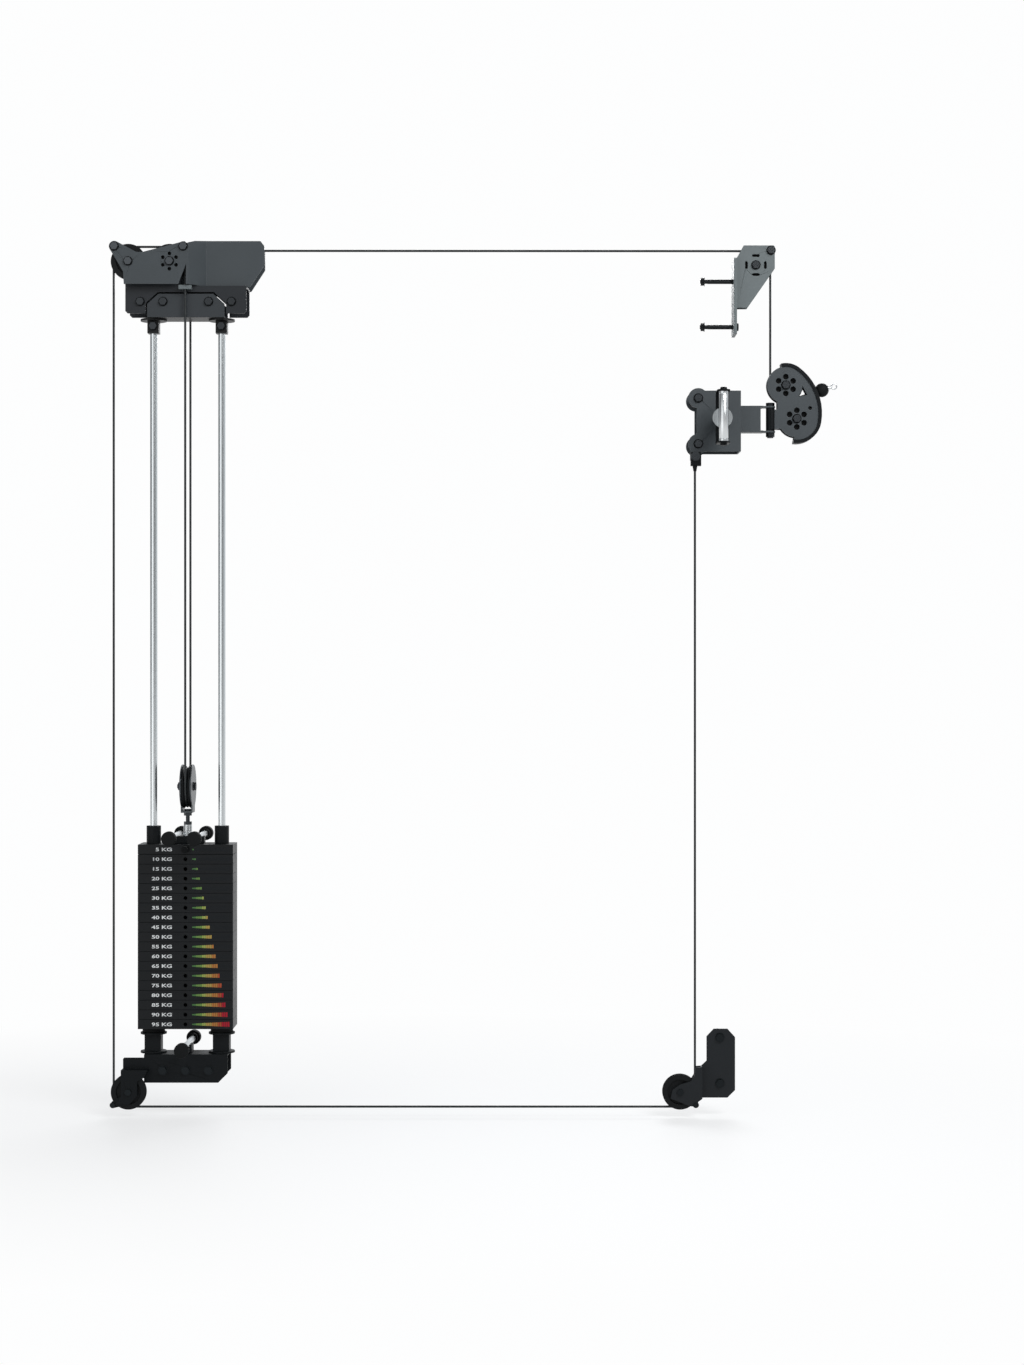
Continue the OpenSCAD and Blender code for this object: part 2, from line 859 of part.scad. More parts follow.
module upper_front_bracket() {
    color("#6d7679") {
        difference() {
            translate([front_face, -half, front_back_low])
                cube([back_t, tube_w, front_back_high - front_back_low]);
            for (s = [-1, 1])
                translate([front_face - 1, 0, top_front_bolt + s * upright_span / 2])
                    rotate([0, 90, 0])
                        cylinder(r = bolt_r + mount_gap, h = back_t + 2);
        }
        for (y = [-front_in - plate_t, front_in])
            side_plate(y, y + plate_t)
                front_cheek_outline();
    }
}

module upper_front_bolts() {
    grip = 2 * (front_in + plate_t);
    color("#4a4f52") {
        along_y(top_front_x, -grip / 2, top_front_z)
            flange_bolt(grip);
        along_y(top_front_x + 40, -grip / 2, top_front_z + 39)
            flange_bolt(grip, tie_r, tie_r - 0.5);
        for (s = [-1, 1])
            translate([front_cheek_x, 0, top_front_bolt + s * upright_span / 2])
                rotate([0, -90, 0])
                    flange_bolt(back_t + tube_w, plain = tube_w);
    }
}

// The cable from the lower front pulley round the rear and over to the near fall
module cable_anchor_side() {
    color("#1a1c1e") {
        cable_bend(lower_front_x, -cable_y, lower_z, 270, 90);
        cable_run([rear_x, -cable_y, lower_z - pitch_r], [lower_front_x, -cable_y, lower_z - pitch_r]);
        cable_bend(rear_x, -cable_y, lower_z, 180, 90);
        cable_run([rear_x - pitch_r, -cable_y, lower_z], [rear_x - pitch_r, -cable_y, near_axle_z]);
        cable_bend(rear_x, -cable_y, near_axle_z, 90, 90);
        cable_run([rear_x, -cable_y, near_axle_z + pitch_r], [near_axle_x, -cable_y, near_axle_z + pitch_r]);
        cable_bend(near_axle_x, -cable_y, near_axle_z, 0, 90);
    }
}

// The two bends of cable over the far top pulley and the upper front pulley
module cable_top_bends() {
    color("#1a1c1e") {
        cable_bend(far_axle_x, cable_y, far_axle_z, 90, 90);
        cable_bend(top_front_x, 0, top_front_z, 0, 90);
    }
}

// The run of cable over the top, cut square to the bends that it meets
module cable_top_run() {
    a = [far_axle_x, cable_y, far_axle_z + pitch_r];
    b = [top_front_x, 0, top_front_z + pitch_r];
    slope = (b - a) / norm(b - a);
    color("#1a1c1e")
        intersection() {
            cable_run(a - slope * 5, b + slope * 5);
            translate([far_axle_x, -20, min(a[2], b[2]) - 10])
                cube([top_front_x - far_axle_x, cable_y + 40, abs(a[2] - b[2]) + 20]);
        }
}

module cable_riser() {
    color("#1a1c1e")
        cable_run([riser_x, -cable_y, lower_z], [riser_x, -cable_y, anchor_low - ferrule_l - seat_gap]);
}

// The two falls of cable from the floating pulley up to the top
module cable_falls() {
    color("#1a1c1e") {
        cable_run([0, -cable_y, float_z + seat_gap], [0, -cable_y, near_axle_z]);
        cable_run([0, cable_y, float_z + seat_gap], [0, cable_y, far_axle_z]);
    }
}

module cable_drop() {
    color("#1a1c1e")
        cable_run([pivot_x, 0, upper_z + seat_gap], [pivot_x, 0, top_front_z]);
}

// One weight plate with its rod bores, stem bore and pin hole, standing on z = 0
module weight_plate(rod_clear) {
    difference() {
        translate([-weight_w / 2, -weight_d / 2, 0])
            cube([weight_w, weight_d, slab_t]);
        for (x = [-rod_x, rod_x])
            translate([x, 0, -1])
                cylinder(r = rod_r + rod_clear, h = slab_t + 2);
        translate([0, 0, -1])
            cylinder(r = stem_r + 0.8, h = slab_t + 2);
        along_y(0, -weight_d / 2 - 1, slab_t / 2)
            cylinder(r = pin_hole_r, h = weight_d / 2 + 1);
    }
}

// Every plate below the top one
module weight_plates() {
    color("#202326")
        for (i = [0 : plate_count - 2])
            translate([0, 0, stack_z + i * weight_pitch])
                weight_plate(0.8);
}

module top_plate() {
    color("#202326")
        translate([0, 0, stack_top - slab_t])
            weight_plate(0.8);
}

// Middle height of a weight plate, counted from the bottom
function pin_z(i) = i < plate_count - 1 ? stack_z + i * weight_pitch + slab_t / 2 : stack_top - slab_t / 2;

// The steel stem that hangs through the stack, cross-bored at each plate
module selector_stem() {
    color("#b9bdc0")
        difference() {
            translate([0, 0, stack_z + 1])
                cylinder(r = stem_r, h = stem_top - stack_z - 1);
            for (i = [0 : plate_count - 1])
                along_y(0, -stem_r - 1, pin_z(i))
                    cylinder(r = pin_hole_r, h = 2 * stem_r + 2);
            translate([0, 0, stem_top - 18])
                cylinder(r = stud_r + bearing_gap, h = 20);
        }
}

module rod_collars() {
    color("#17191b")
        for (x = [-rod_x, rod_x])
            translate([x, 0, stack_top])
                difference() {
                    cylinder(r = collar_r, h = collar_h);
                    translate([0, 0, -1])
                        cylinder(r = rod_r + rod_gap, h = collar_h + 2);
                }
}

module upper_band_pegs() {
    block = peg_x + 12;
    for (x = [-peg_x, peg_x])
        band_peg(x, peg_z);
    color("#1c1f21")
        difference() {
            translate([-block, -15, stack_top])
                cube([2 * block, 30, peg_z - stack_top]);
            translate([0, 0, stack_top - 1])
                cylinder(r = stem_r + hole_gap, h = 60);
        }
}

module selector_pin() {
    color("#131415")
        along_y(0, 0, pin_z(plate_count - 1)) {
            translate([0, 0, -weight_d / 2 - 16 - seat_gap])
                cylinder(r = 9, h = 16);
            translate([0, 0, -weight_d / 2 - 1])
                cylinder(r = pin_hole_r - pin_hole_gap, h = weight_d / 2 + stem_r - 1);
        }
}

module floating_yoke() {
    color("#8d9294")
        difference() {
            union() {
                for (x = [-yoke_out, yoke_in])
                    translate([x, 0, 0])
                        rotate([90, 0, 90])
                            linear_extrude(height = plate_t) {
                                translate([0, float_z])
                                    circle(r = float_rim_r);
                                translate([-yoke_half, yoke_foot])
                                    square([2 * yoke_half, float_z - yoke_foot]);
                            }
                translate([-yoke_out, -yoke_half, yoke_foot])
                    cube([2 * yoke_out, 2 * yoke_half, plate_t + 1]);
            }
            translate([-yoke_out - 1, 0, float_z])
                rotate([0, 90, 0])
                    cylinder(r = bolt_r + hole_gap, h = 2 * yoke_out + 2);
            translate([0, 0, yoke_foot - 1])
                cylinder(r = stud_r + hole_gap, h = plate_t + 3);
        }
}

// Floating pulley's axle, and the threaded stud with its nuts
module yoke_fasteners() {
    grip = 2 * yoke_out;
    color("#17191b") {
        translate([yoke_out, 0, float_z])
            rotate([0, -90, 0])
                flange_bolt(grip);
        translate([0, 0, stem_top - 16])
            cylinder(r = stud_r, h = yoke_foot - stem_top + 16 + plate_t + 1 + seat_gap);
        translate([0, 0, yoke_foot + plate_t + 1 + seat_gap])
            cylinder(r = 9, h = 4, $fn = 6);
        for (z = [yoke_foot - 8 - seat_gap, stem_top])
            translate([0, 0, z])
                cylinder(r = 10.5, h = 8, $fn = 6);
    }
}

module floating_pulley() {
    color("#17191b")
        translate([0, 0, float_z])
            rotate([0, 90, 0])
                pulley(float_pitch_r, float_rim_r);
}

// The half turn of cable under the floating pulley
module cable_float_loop() {
    color("#1a1c1e")
        translate([0, 0, float_z])
            rotate([90, 0, 90])
                rotate([0, 0, 180])
                    rotate_extrude(angle = 180)
                        translate([float_pitch_r, 0])
                            circle(r = cable_r);
}

// Outline of one side of the trolley
module trolley_outline() {
    left = roller_x - 4;
    difference() {
        union() {
            translate([left, trolley_low])
                square([front_out - left, trolley_h]);
            for (s = [-1, 1])
                translate([roller_x, trolley_z + s * roller_rise])
                    circle(r = lobe_r);
            translate([roller_x, trolley_z + roller_rise])
                square([30, lobe_r - 6.5 + (trolley_high - trolley_z - roller_rise - 20)]);
        }
        for (s = [-1, 1])
            side_hole(roller_x, trolley_z + s * roller_rise, bolt_r + hole_gap);
    }
}

module trolley_carriage() {
    color("#383d41") {
        difference() {
            side_plate(-side_out, -side_in)
                union() {
                    trolley_outline();
                    translate([riser_x - 12, anchor_z - 10])
                        square([26, trolley_low - anchor_z + 20]);
                }
            along_y(pin_x, -side_out - 1, trolley_z)
                cylinder(r = pin_r + hole_gap, h = plate_t + 2);
            along_y(riser_x + 1, -side_out - 1, anchor_z)
                cylinder(r = tie_r + hole_gap, h = plate_t + 2);
        }
        side_plate(side_in, side_out)
            trolley_outline();
        translate([front_out - plate_t, -side_out, trolley_low])
            cube([plate_t, 2 * side_out, trolley_h]);
    }
}

// Plastic pads between the trolley and the upright
module trolley_glides() {
    pad_t = slide_gap - 0.5;
    color("#e4e4e0") {
        for (y = [-side_in, side_in - pad_t])
            for (s = [-1, 1])
                translate([upright_x - 20, y, trolley_z + s * 50 - 15])
                    cube([50, pad_t, 30]);
        for (s = [-1, 1])
            translate([front_face + 0.5, -25, trolley_z + s * 55 - 15])
                cube([front_out - plate_t - front_face - 0.5, 50, 30]);
    }
}

// A roller on the upright's rear face
module roller(z) {
    length = 2 * side_in - 3;
    color("#1b1d1f")
        along_y(roller_x, -length / 2, z)
            difference() {
                cylinder(r = roller_r, h = length);
                translate([0, 0, -1])
                    cylinder(r = bolt_r + bearing_gap, h = length + 2);
            }
}

module trolley_bolts() {
    grip = 2 * side_out;
    color("#2c2f32") {
        for (s = [-1, 1])
            along_y(roller_x, -side_out, trolley_z + s * roller_rise)
                flange_bolt(grip);
        along_y(riser_x + 1, -cable_y - 8, anchor_z)
            flange_bolt(cable_y + 8 - side_in, tie_r, tie_r - 0.5);
    }
}

// The block that clamps the cable's lower end to the trolley
module cable_anchor() {
    color("#1c1f21") {
        difference() {
            translate([riser_x - 11, -cable_y - 8, anchor_low])
                cube([27, cable_y + 8 - side_out, 36]);
            along_y(riser_x + 1, -cable_y - 9, anchor_z)
                cylinder(r = tie_r + hole_gap, h = 30);
        }
        translate([riser_x, -cable_y, anchor_low - ferrule_l])
            cylinder(r1 = cable_r + 1, r2 = cable_r + 3.5, h = ferrule_l);
    }
}

module pin_housing() {
    color("#202326")
        difference() {
            along_y(pin_x, -boss_end, trolley_z)
                cylinder(r = boss_r, h = boss_end - side_out);
            along_y(pin_x, -boss_end + 6, trolley_z)
                cylinder(r = 12.5, h = boss_end - side_out - 12);
            along_y(pin_x, -boss_end - 1, trolley_z)
                cylinder(r = pin_r + hole_gap, h = boss_end);
        }
}

// The coil spring round the pin, as its outer sleeve
module pin_spring() {
    color("#8a8d90")
        difference() {
            along_y(pin_x, -boss_end + 6 + seat_gap, trolley_z)
                cylinder(r = 12, h = spring_l);
            along_y(pin_x, -boss_end, trolley_z)
                cylinder(r = 9, h = 2 * spring_l);
        }
}

module pull_pin() {
    collar_y = boss_end - 6 - 2 * seat_gap - spring_l;
    color("#c9cdd0") {
        along_y(pin_x, -strap_y - 2, trolley_z)
            cylinder(r = pin_r, h = strap_y + 2 - half + 22);
        along_y(pin_x, -collar_y, trolley_z)
            cylinder(r = 11.5, h = 4);
        along_y(pin_x, -strap_y - strap_t - disc_front_t - seat_gap, trolley_z)
            cylinder(r = disc_front_r, h = disc_front_t);
        along_y(pin_x, -strap_y - strap_t - seat_gap - 1, trolley_z)
            cylinder(r = pin_r - 0.5, h = strap_t + 2);
    }
}

// The handle: a steel strap with two arms, and the grip between them
module pull_grip() {
    half_l = grip_l / 2;
    color("#141516") {
        difference() {
            translate([pin_x - strap_w / 2, -strap_y - strap_t, trolley_z - half_l - arm_t])
                cube([strap_w, strap_t, grip_l + 2 * arm_t]);
            along_y(pin_x, -strap_y - strap_t - 1, trolley_z)
                cylinder(r = pin_r + rod_gap, h = strap_t + 2);
        }
        for (z = [-half_l - arm_t, half_l])
            translate([pin_x - strap_w / 2, -grip_y, trolley_z + z])
                cube([strap_w, grip_y - strap_y - strap_t + 1, arm_t]);
        for (z = [-half_l - arm_t, half_l])
            translate([pin_x, -grip_y, trolley_z + z])
                cylinder(r = strap_w / 2, h = arm_t);
        for (z = [-half_l - arm_t - 7, half_l + arm_t])
            translate([pin_x, -grip_y, trolley_z + z])
                cylinder(r = 9, h = 7);
    }
    color("#d3d6d8")
        translate([pin_x, -grip_y, trolley_z - half_l])
            cylinder(r = grip_r, h = grip_l);
}

module swivel_arm() {
    lug_top = barrel_mid + lug_z;
    lug_low = barrel_mid - lug_z - lug_t;
    color("#383d41") {
        for (z = [lug_low, lug_top])
            difference() {
                translate([front_out, -arm_half, z])
                    cube([pivot_x - front_out, 2 * arm_half, lug_t]);
                translate([pivot_x, 0, z - 1])
                    cylinder(r = arm_half + 8, h = lug_t + 2);
            }
        for (z = [lug_low, lug_top])
            difference() {
                union() {
                    translate([pivot_x, 0, z])
                        cylinder(r = lug_r, h = lug_t);
                    translate([pivot_x - arm_half - 10, -lug_r, z])
                        cube([arm_half + 10, 2 * lug_r, lug_t]);
                }
                translate([pivot_x, 0, z - 1])
                    cylinder(r = pivot_r + bearing_gap, h = lug_t + 2);
            }
        for (y = [-arm_half, arm_half - plate_t])
            translate([front_out, y, lug_low])
                cube([arm_end - front_out, plate_t, lug_top - lug_low + lug_t]);
    }
}

module pivot_bolt() {
    color("#17191b")
        translate([pivot_x, 0, barrel_mid + lug_z + lug_t])
            mirror([0, 0, 1]) {
                translate([0, 0, -9])
                    cylinder(r = 11.5, h = 9, $fn = 6);
                cylinder(r = pivot_r, h = 2 * lug_z + 2 * lug_t + 14);
                translate([0, 0, 2 * lug_z + 2 * lug_t + seat_gap])
                    cylinder(r = 11.5, h = 11, $fn = 6);
            }
}

function arc_points(x, z, r, from, to, n) = [
    for (i = [0 : n]) let (a = from + (to - from) * i / n) [x + r * cos(a), z + r * sin(a)],
];

// Points along the guard, drawn in by a depth from its outer face
function guard_points(in) = concat(
    arc_points(upper_x, upper_z, guard_upper_r - in, guard_start, bulge_from, 8),
    arc_points(bulge_x, bulge_z, guard_bulge_r - in, bulge_from, bulge_to, 10),
    arc_points(lower_x, lower_head_z, guard_lower_r - in, bulge_to, guard_stop, 10),
);

function reversed(list) = [for (i = [len(list) - 1 : -1 : 0]) list[i]];

// Outline of one side of the swivel head
module head_outline() {
    difference() {
        union() {
            translate([upper_x, upper_z])
                circle(r = lobe_head_r);
            translate([lower_x, lower_head_z])
                circle(r = lobe_head_r);
            polygon(concat(
                [[lower_x, lower_head_z], [upper_x, upper_z]],
                guard_points(rim_t - 0.5)));
            polygon([
                [pivot_x + barrel_r - 2, barrel_mid - 26], [lower_x - 30, barrel_mid - 26],
                [lower_x, barrel_mid + 40], [upper_x - 11, upper_z - 25],
                [upper_x - 22, upper_z - 43], [upper_x - 22, barrel_mid + 25],
                [pivot_x + barrel_r - 2, barrel_mid + 25],
            ]);
        }
        side_hole(upper_x, upper_z, bolt_r + hole_gap);
        side_hole(lower_x, lower_head_z, bolt_r + hole_gap);
        hole_ring(upper_x, upper_z, 22, 7.4);
        hole_ring(lower_x, lower_head_z, 22, 7.4);
        difference() {
            polygon([
                [upper_x + 42, upper_z + 1], [upper_x + 57, upper_z - 26],
                [upper_x + 34, upper_z - 30],
            ]);
            translate([upper_x, upper_z])
                circle(r = 44);
        }
        side_hole(lower_x + 35, lower_head_z + 28, 5);
    }
}

// The two mirrored side plates of the swivel head
module head_plates() {
    color("#3b4045")
        for (y = [-head_out, head_in])
            side_plate(y, y + plate_t)
                head_outline();
}

// The guard rim, the pivot barrel and the block that ties the barrel to the plates
module head_frame() {
    color("#121314") {
        difference() {
            side_plate(-guard_half, guard_half)
                polygon(concat(guard_points(0), reversed(guard_points(rim_t))));
            translate([exit_x, 0, exit_z])
                rotate([0, -exit_angle, 0])
                    translate([0, -slot_half, -17])
                        cube([120, 2 * slot_half, 34]);
            for (y = [-head_out - 0.1, head_in - 0.1])
                side_plate(y, y + plate_t + 0.2)
                    polygon(concat(guard_points(rim_t - 0.6), reversed(guard_points(rim_t + 1))));
        }
        difference() {
            union() {
                translate([pivot_x, 0, barrel_mid - barrel_h / 2])
                    cylinder(r = barrel_r, h = barrel_h);
                translate([pivot_x, -head_in + 0.1, barrel_mid - 26])
                    cube([lower_x - rim_r - pivot_x - 2, 2 * head_in - 0.2, 51]);
            }
            translate([pivot_x, 0, barrel_mid - barrel_h])
                cylinder(r = pivot_r + bearing_gap, h = 2 * barrel_h);
        }
    }
}

module head_axles() {
    grip = 2 * head_out;
    color("#2c2f32") {
        along_y(upper_x, -head_out, upper_z)
            flange_bolt(grip);
        along_y(lower_x, -head_out, lower_head_z)
            flange_bolt(grip);
    }
}

// Moves to the cable's exit line, with +X along it
module on_exit_line() {
    translate([exit_x, 0, exit_z])
        rotate([0, -exit_angle, 0])
            children();
}

// The cable's turn under the upper head pulley and its short way out to the stub
module cable_head() {
    color("#1a1c1e") {
        cable_bend(upper_x, 0, upper_z, 180, 90 + exit_angle);
        on_exit_line()
            rotate([0, 90, 0])
                cylinder(r = cable_r, h = stub_from);
    }
}

// The stretch of cable that follows the ball out of the head
module cable_stub() {
    color("#1a1c1e")
        on_exit_line()
            translate([stub_from, 0, 0])
                rotate([0, 90, 0])
                    cylinder(r = cable_r, h = ball_along - ball_flat - seat_gap - stub_from);
}

// The rubber stopper ball and the steel eye beyond it
module cable_end() {
    color("#2a2d2f")
        on_exit_line()
            intersection() {
                translate([ball_along, 0, 0])
                    sphere(r = ball_r);
                translate([ball_along - ball_flat, -ball_r, -ball_r])
                    cube([2 * ball_flat, 2 * ball_r, 2 * ball_r]);
            }
    color("#b9bdc0")
        on_exit_line()
            difference() {
                union() {
                    translate([ball_along + ball_flat, 0, 0])
                        rotate([0, 90, 0])
                            cylinder(r = neck_r, h = eye_along - ball_along - ball_flat);
                    translate([eye_along, 0, 0])
                        rotate([90, 0, 0])
                            cylinder(r = eye_r, h = eye_t, center = true);
                }
                translate([eye_along, 0, 0])
                    rotate([90, 0, 0])
                        cylinder(r = eye_bore_r, h = 2 * eye_t, center = true);
            }
}

upper_saddle();
housing_near_plate();
housing_far_plate();
housing_bolts();
rod_holder();
beam_bolts();
rod_bolts();
fall_guides();
guide_rods();
lower_bracket();
lower_bracket_bolts();
stack_posts();
stack_buffers();
lower_band_peg();
lower_front_bracket();
lower_front_bolts();
upper_front_bracket();
upper_front_bolts();
side_pulley(rear_x, -cable_y, near_axle_z);  // rear_top_pulley
side_pulley(near_axle_x, -cable_y, near_axle_z);  // near_top_pulley
side_pulley(far_axle_x, cable_y, far_axle_z);  // far_top_pulley
side_pulley(rear_x, -cable_y, lower_z);  // lower_rear_pulley
side_pulley(lower_front_x, -cable_y, lower_z);  // lower_front_pulley
side_pulley(top_front_x, 0, top_front_z);  // upper_front_pulley
cable_anchor_side();
cable_top_bends();
cable_top_run();
cable_riser();
cable_falls();
cable_drop();
cable_head();
cable_stub();
weight_plates();
top_plate();
selector_stem();
rod_collars();
upper_band_pegs();
selector_pin();
floating_yoke();
yoke_fasteners();
floating_pulley();
cable_float_loop();
trolley_carriage();
trolley_glides();
roller(trolley_z + roller_rise);  // upper_roller
roller(trolley_z - roller_rise);  // lower_roller
trolley_bolts();
cable_anchor();
pin_housing();
pin_spring();
pull_pin();
pull_grip();
swivel_arm();
pivot_bolt();
head_plates();
head_frame();
head_axles();
side_pulley(upper_x, 0, upper_z);  // swivel_upper_pulley
side_pulley(lower_x, 0, lower_head_z);  // swivel_lower_pulley
cable_end();
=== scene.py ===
"""Looks of the weight stack and cable kit, in metres.

+X runs to the front, +Z is up and -Y is the side with the pull handle.
The origin is the middle of the lower stack bracket's bolts.
"""

import json
import math

import bmesh
import bpy
from mathutils import Matrix, Vector


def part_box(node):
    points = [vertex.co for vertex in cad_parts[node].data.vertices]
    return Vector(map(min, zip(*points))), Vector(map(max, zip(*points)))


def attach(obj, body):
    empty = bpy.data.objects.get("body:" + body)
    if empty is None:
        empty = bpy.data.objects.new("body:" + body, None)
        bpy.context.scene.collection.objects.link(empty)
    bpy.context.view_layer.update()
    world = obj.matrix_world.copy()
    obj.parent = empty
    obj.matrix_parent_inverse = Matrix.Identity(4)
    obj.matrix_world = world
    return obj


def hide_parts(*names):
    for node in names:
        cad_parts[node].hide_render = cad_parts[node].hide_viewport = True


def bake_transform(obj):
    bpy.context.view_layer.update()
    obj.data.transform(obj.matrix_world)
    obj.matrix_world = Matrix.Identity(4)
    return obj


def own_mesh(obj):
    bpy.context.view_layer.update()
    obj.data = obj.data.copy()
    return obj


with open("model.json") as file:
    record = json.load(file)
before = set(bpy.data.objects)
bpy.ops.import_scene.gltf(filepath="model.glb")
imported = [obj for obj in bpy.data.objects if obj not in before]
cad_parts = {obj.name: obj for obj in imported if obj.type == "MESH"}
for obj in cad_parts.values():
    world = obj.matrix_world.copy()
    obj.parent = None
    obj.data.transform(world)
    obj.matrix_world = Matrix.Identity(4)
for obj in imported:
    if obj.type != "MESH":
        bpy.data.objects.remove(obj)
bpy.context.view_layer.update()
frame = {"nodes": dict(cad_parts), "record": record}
nodes = frame["nodes"]
slot_of = {
    row["node"]: row["material_slot"] for row in frame["record"]["subparts"]
}


# Corners and middle of a node's box


def low(node):
    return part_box(node)[0]


def high(node):
    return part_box(node)[1]


def middle(node):
    return tuple((a + b) / 2 for a, b in zip(*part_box(node)))


def put_in_scene(name, data):
    """Makes an object of a mesh, a lamp or a camera."""
    obj = bpy.data.objects.new(name, data)
    bpy.context.collection.objects.link(obj)
    return obj


# Camera

CAMERA_AT = (0.8572, -6.5975, 1.0189)
LENS_MM = 65.8
SENSOR_MM = 36.0


def add_camera():
    lens = bpy.data.cameras.new("camera")
    lens.lens = LENS_MM
    lens.sensor_width = SENSOR_MM
    camera = put_in_scene("camera", lens)
    camera.location = CAMERA_AT
    camera.rotation_euler = (math.radians(90), 0, 0)
    bpy.context.scene.camera = camera


add_camera()
bpy.context.scene.view_settings.view_transform = "Standard"


# Shader expressions

# The Mix node's sockets for its factor, its two colors and the mixed color
MIX_FACTOR, MIX_FIRST, MIX_SECOND, MIX_RESULT = 0, 6, 7, 2


class Wire:
    """One shader socket that adds Math nodes when it is used in an expression."""

    def __init__(self, graph, socket):
        self.graph = graph
        self.socket = socket

    def _math(self, operation, *values):
        sockets = dict(enumerate(values))
        return self.graph.node("ShaderNodeMath", sockets, operation=operation)

    def __add__(self, other):
        return self._math("ADD", self, other)

    __radd__ = __add__

    def __sub__(self, other):
        return self._math("SUBTRACT", self, other)

    def __rsub__(self, other):
        return self._math("SUBTRACT", other, self)

    def __mul__(self, other):
        return self._math("MULTIPLY", self, other)

    __rmul__ = __mul__

    def __abs__(self):
        return self._math("ABSOLUTE", self)

    def above(self, other):
        return self._math("GREATER_THAN", self, other)

    def capped(self, top):
        return self._math("MINIMUM", self, top)


class Graph:
    """A node tree, with one method that makes any node in it."""

    def __init__(self, tree):
        self.tree = tree

    def feed(self, socket, value):
        """Links a wire to a socket, or sets the socket's own value."""
        if isinstance(value, Wire):
            self.tree.links.new(value.socket, socket)
        else:
            socket.default_value = value

    def node(self, kind, sockets, output=0, ramp=None, **settings):
        """Makes a node: first its settings and ramp stops, then its sockets."""
        made = self.tree.nodes.new(kind)
        for key, value in settings.items():
            setattr(made, key, value)
        if ramp:
            stops = made.color_ramp.elements
            while len(stops) < len(ramp):
                stops.new(0.5)
            for stop, (position, color) in zip(stops, ramp):
                stop.position = position
                stop.color = (*color, 1.0)
        for key, value in sockets.items():
            self.feed(made.inputs[key], value)
        if not made.outputs:
            return None
        return Wire(self, made.outputs[output])

    def ray(self, kind):
        """1 on rays of one kind, such as Camera or Glossy, and 0 on all others."""
        return self.node("ShaderNodeLightPath", {}, output=f"Is {kind} Ray")


def shade(color, factor):
    return tuple(min(1.0, channel * factor) for channel in color)


class Finish(Graph):
    """One material, built from nodes."""

    def __init__(self, name, roughness, metallic=0.0, coat=0.0, specular=0.5):
        self.material = bpy.data.materials.new(name)
        self.material.use_nodes = True
        super().__init__(self.material.node_tree)
        self.shader = self.tree.nodes["Principled BSDF"]
        self.roughness = roughness
        self.set("Roughness", roughness)
        self.set("Metallic", metallic)
        self.set("Coat Weight", coat)
        self.set("Specular IOR Level", specular)
        self.place = self.node("ShaderNodeTexCoord", {}, output="Object")

    def set(self, name, value):
        self.feed(self.shader.inputs[name], value)

    def coordinate(self, axis):
        return self.node("ShaderNodeSeparateXYZ", {"Vector": self.place}, output=axis)

    def noise(self, scale, detail=3.0, roughness=0.5, stretch=None):
        place = self.place
        if stretch:
            place = self.node(
                "ShaderNodeMapping", {"Vector": place, "Scale": stretch}
            )
        return self.node(
            "ShaderNodeTexNoise",
            {
                "Vector": place,
                "Scale": scale,
                "Detail": detail,
                "Roughness": roughness,
            },
        )

    def tint(self, mask, first, second):
        """Mixes two colors, or wires that carry a color, by a mask."""
        first, second = (
            color if isinstance(color, Wire) else (*color, 1.0)
            for color in (first, second)
        )
        return self.node(
            "ShaderNodeMix",
            {MIX_FACTOR: mask, MIX_FIRST: first, MIX_SECOND: second},
            output=MIX_RESULT,
            data_type="RGBA",
        )

    def clouded(self, mask, color, dark, light):
        """A color that varies between two shades of itself."""
        return self.tint(mask, shade(color, dark), shade(color, light))

    def spread_roughness(self, mask, spread):
        """Varies the roughness round its own value."""
        self.set("Roughness", mask * spread + (self.roughness - spread / 2))

    def bump(self, height, strength, depth):
        normal = self.node(
            "ShaderNodeBump",
            {"Height": height, "Strength": strength, "Distance": depth},
        )
        self.set("Normal", normal)


# Finishes


def powder_coat(name, color, coat=0.05, specular=0.36, shade_below=None):
    """Fine orange peel with slight clouding; an optional height and color paint all under
    that height in the color, as painted shade.
    """
    finish = Finish(name, 0.46, coat=coat, specular=specular)
    cloud = finish.noise(scale=9.0, detail=4.0)
    peel = finish.noise(scale=900.0, detail=2.0)
    paint = finish.clouded(cloud, color, dark=0.86, light=1.18)
    if shade_below:
        height, shade_color = shade_below
        # Painted shade: under the given height the paint gives way to the shade color
        paint = finish.tint(finish.coordinate("Z").above(height), shade_color, paint)
    finish.set("Base Color", paint)
    finish.spread_roughness(cloud, 0.12)
    finish.bump(peel, strength=0.04, depth=0.0002)
    return finish.material


def moulded(name, color, roughness=0.48):
    """Moulded nylon with a fine grain."""
    finish = Finish(name, roughness, specular=0.16)
    cloud = finish.noise(scale=40.0)
    grain = finish.noise(scale=1400.0, detail=2.0)
    finish.set("Base Color", finish.clouded(cloud, color, dark=0.8, light=1.3))
    finish.spread_roughness(cloud, 0.16)
    finish.bump(grain, strength=0.15, depth=0.0002)
    return finish.material


def cast_plate(name, color):
    """Painted plate steel with a pebbled face."""
    finish = Finish(name, 0.42, specular=0.22)
    cloud = finish.noise(scale=14.0, detail=4.0)
    pebble = finish.noise(scale=520.0, roughness=0.6)
    finish.set("Base Color", finish.clouded(cloud, color, dark=0.82, light=1.2))
    finish.spread_roughness(cloud, 0.14)
    finish.bump(pebble, strength=0.12, depth=0.0003)
    return finish.material


def bare_metal(name, color, roughness, stretch=(1.0, 1.0, 0.03), spread=0.08):
    """Drawn or turned metal with fine scratches that run up and down."""
    finish = Finish(name, roughness, metallic=1.0)
    lines = finish.noise(scale=420.0, roughness=0.6, stretch=stretch)
    finish.set("Base Color", finish.clouded(lines, color, dark=0.9, light=1.06))
    finish.spread_roughness(lines, spread)
    finish.bump(lines, strength=0.02, depth=0.00005)
    return finish.material


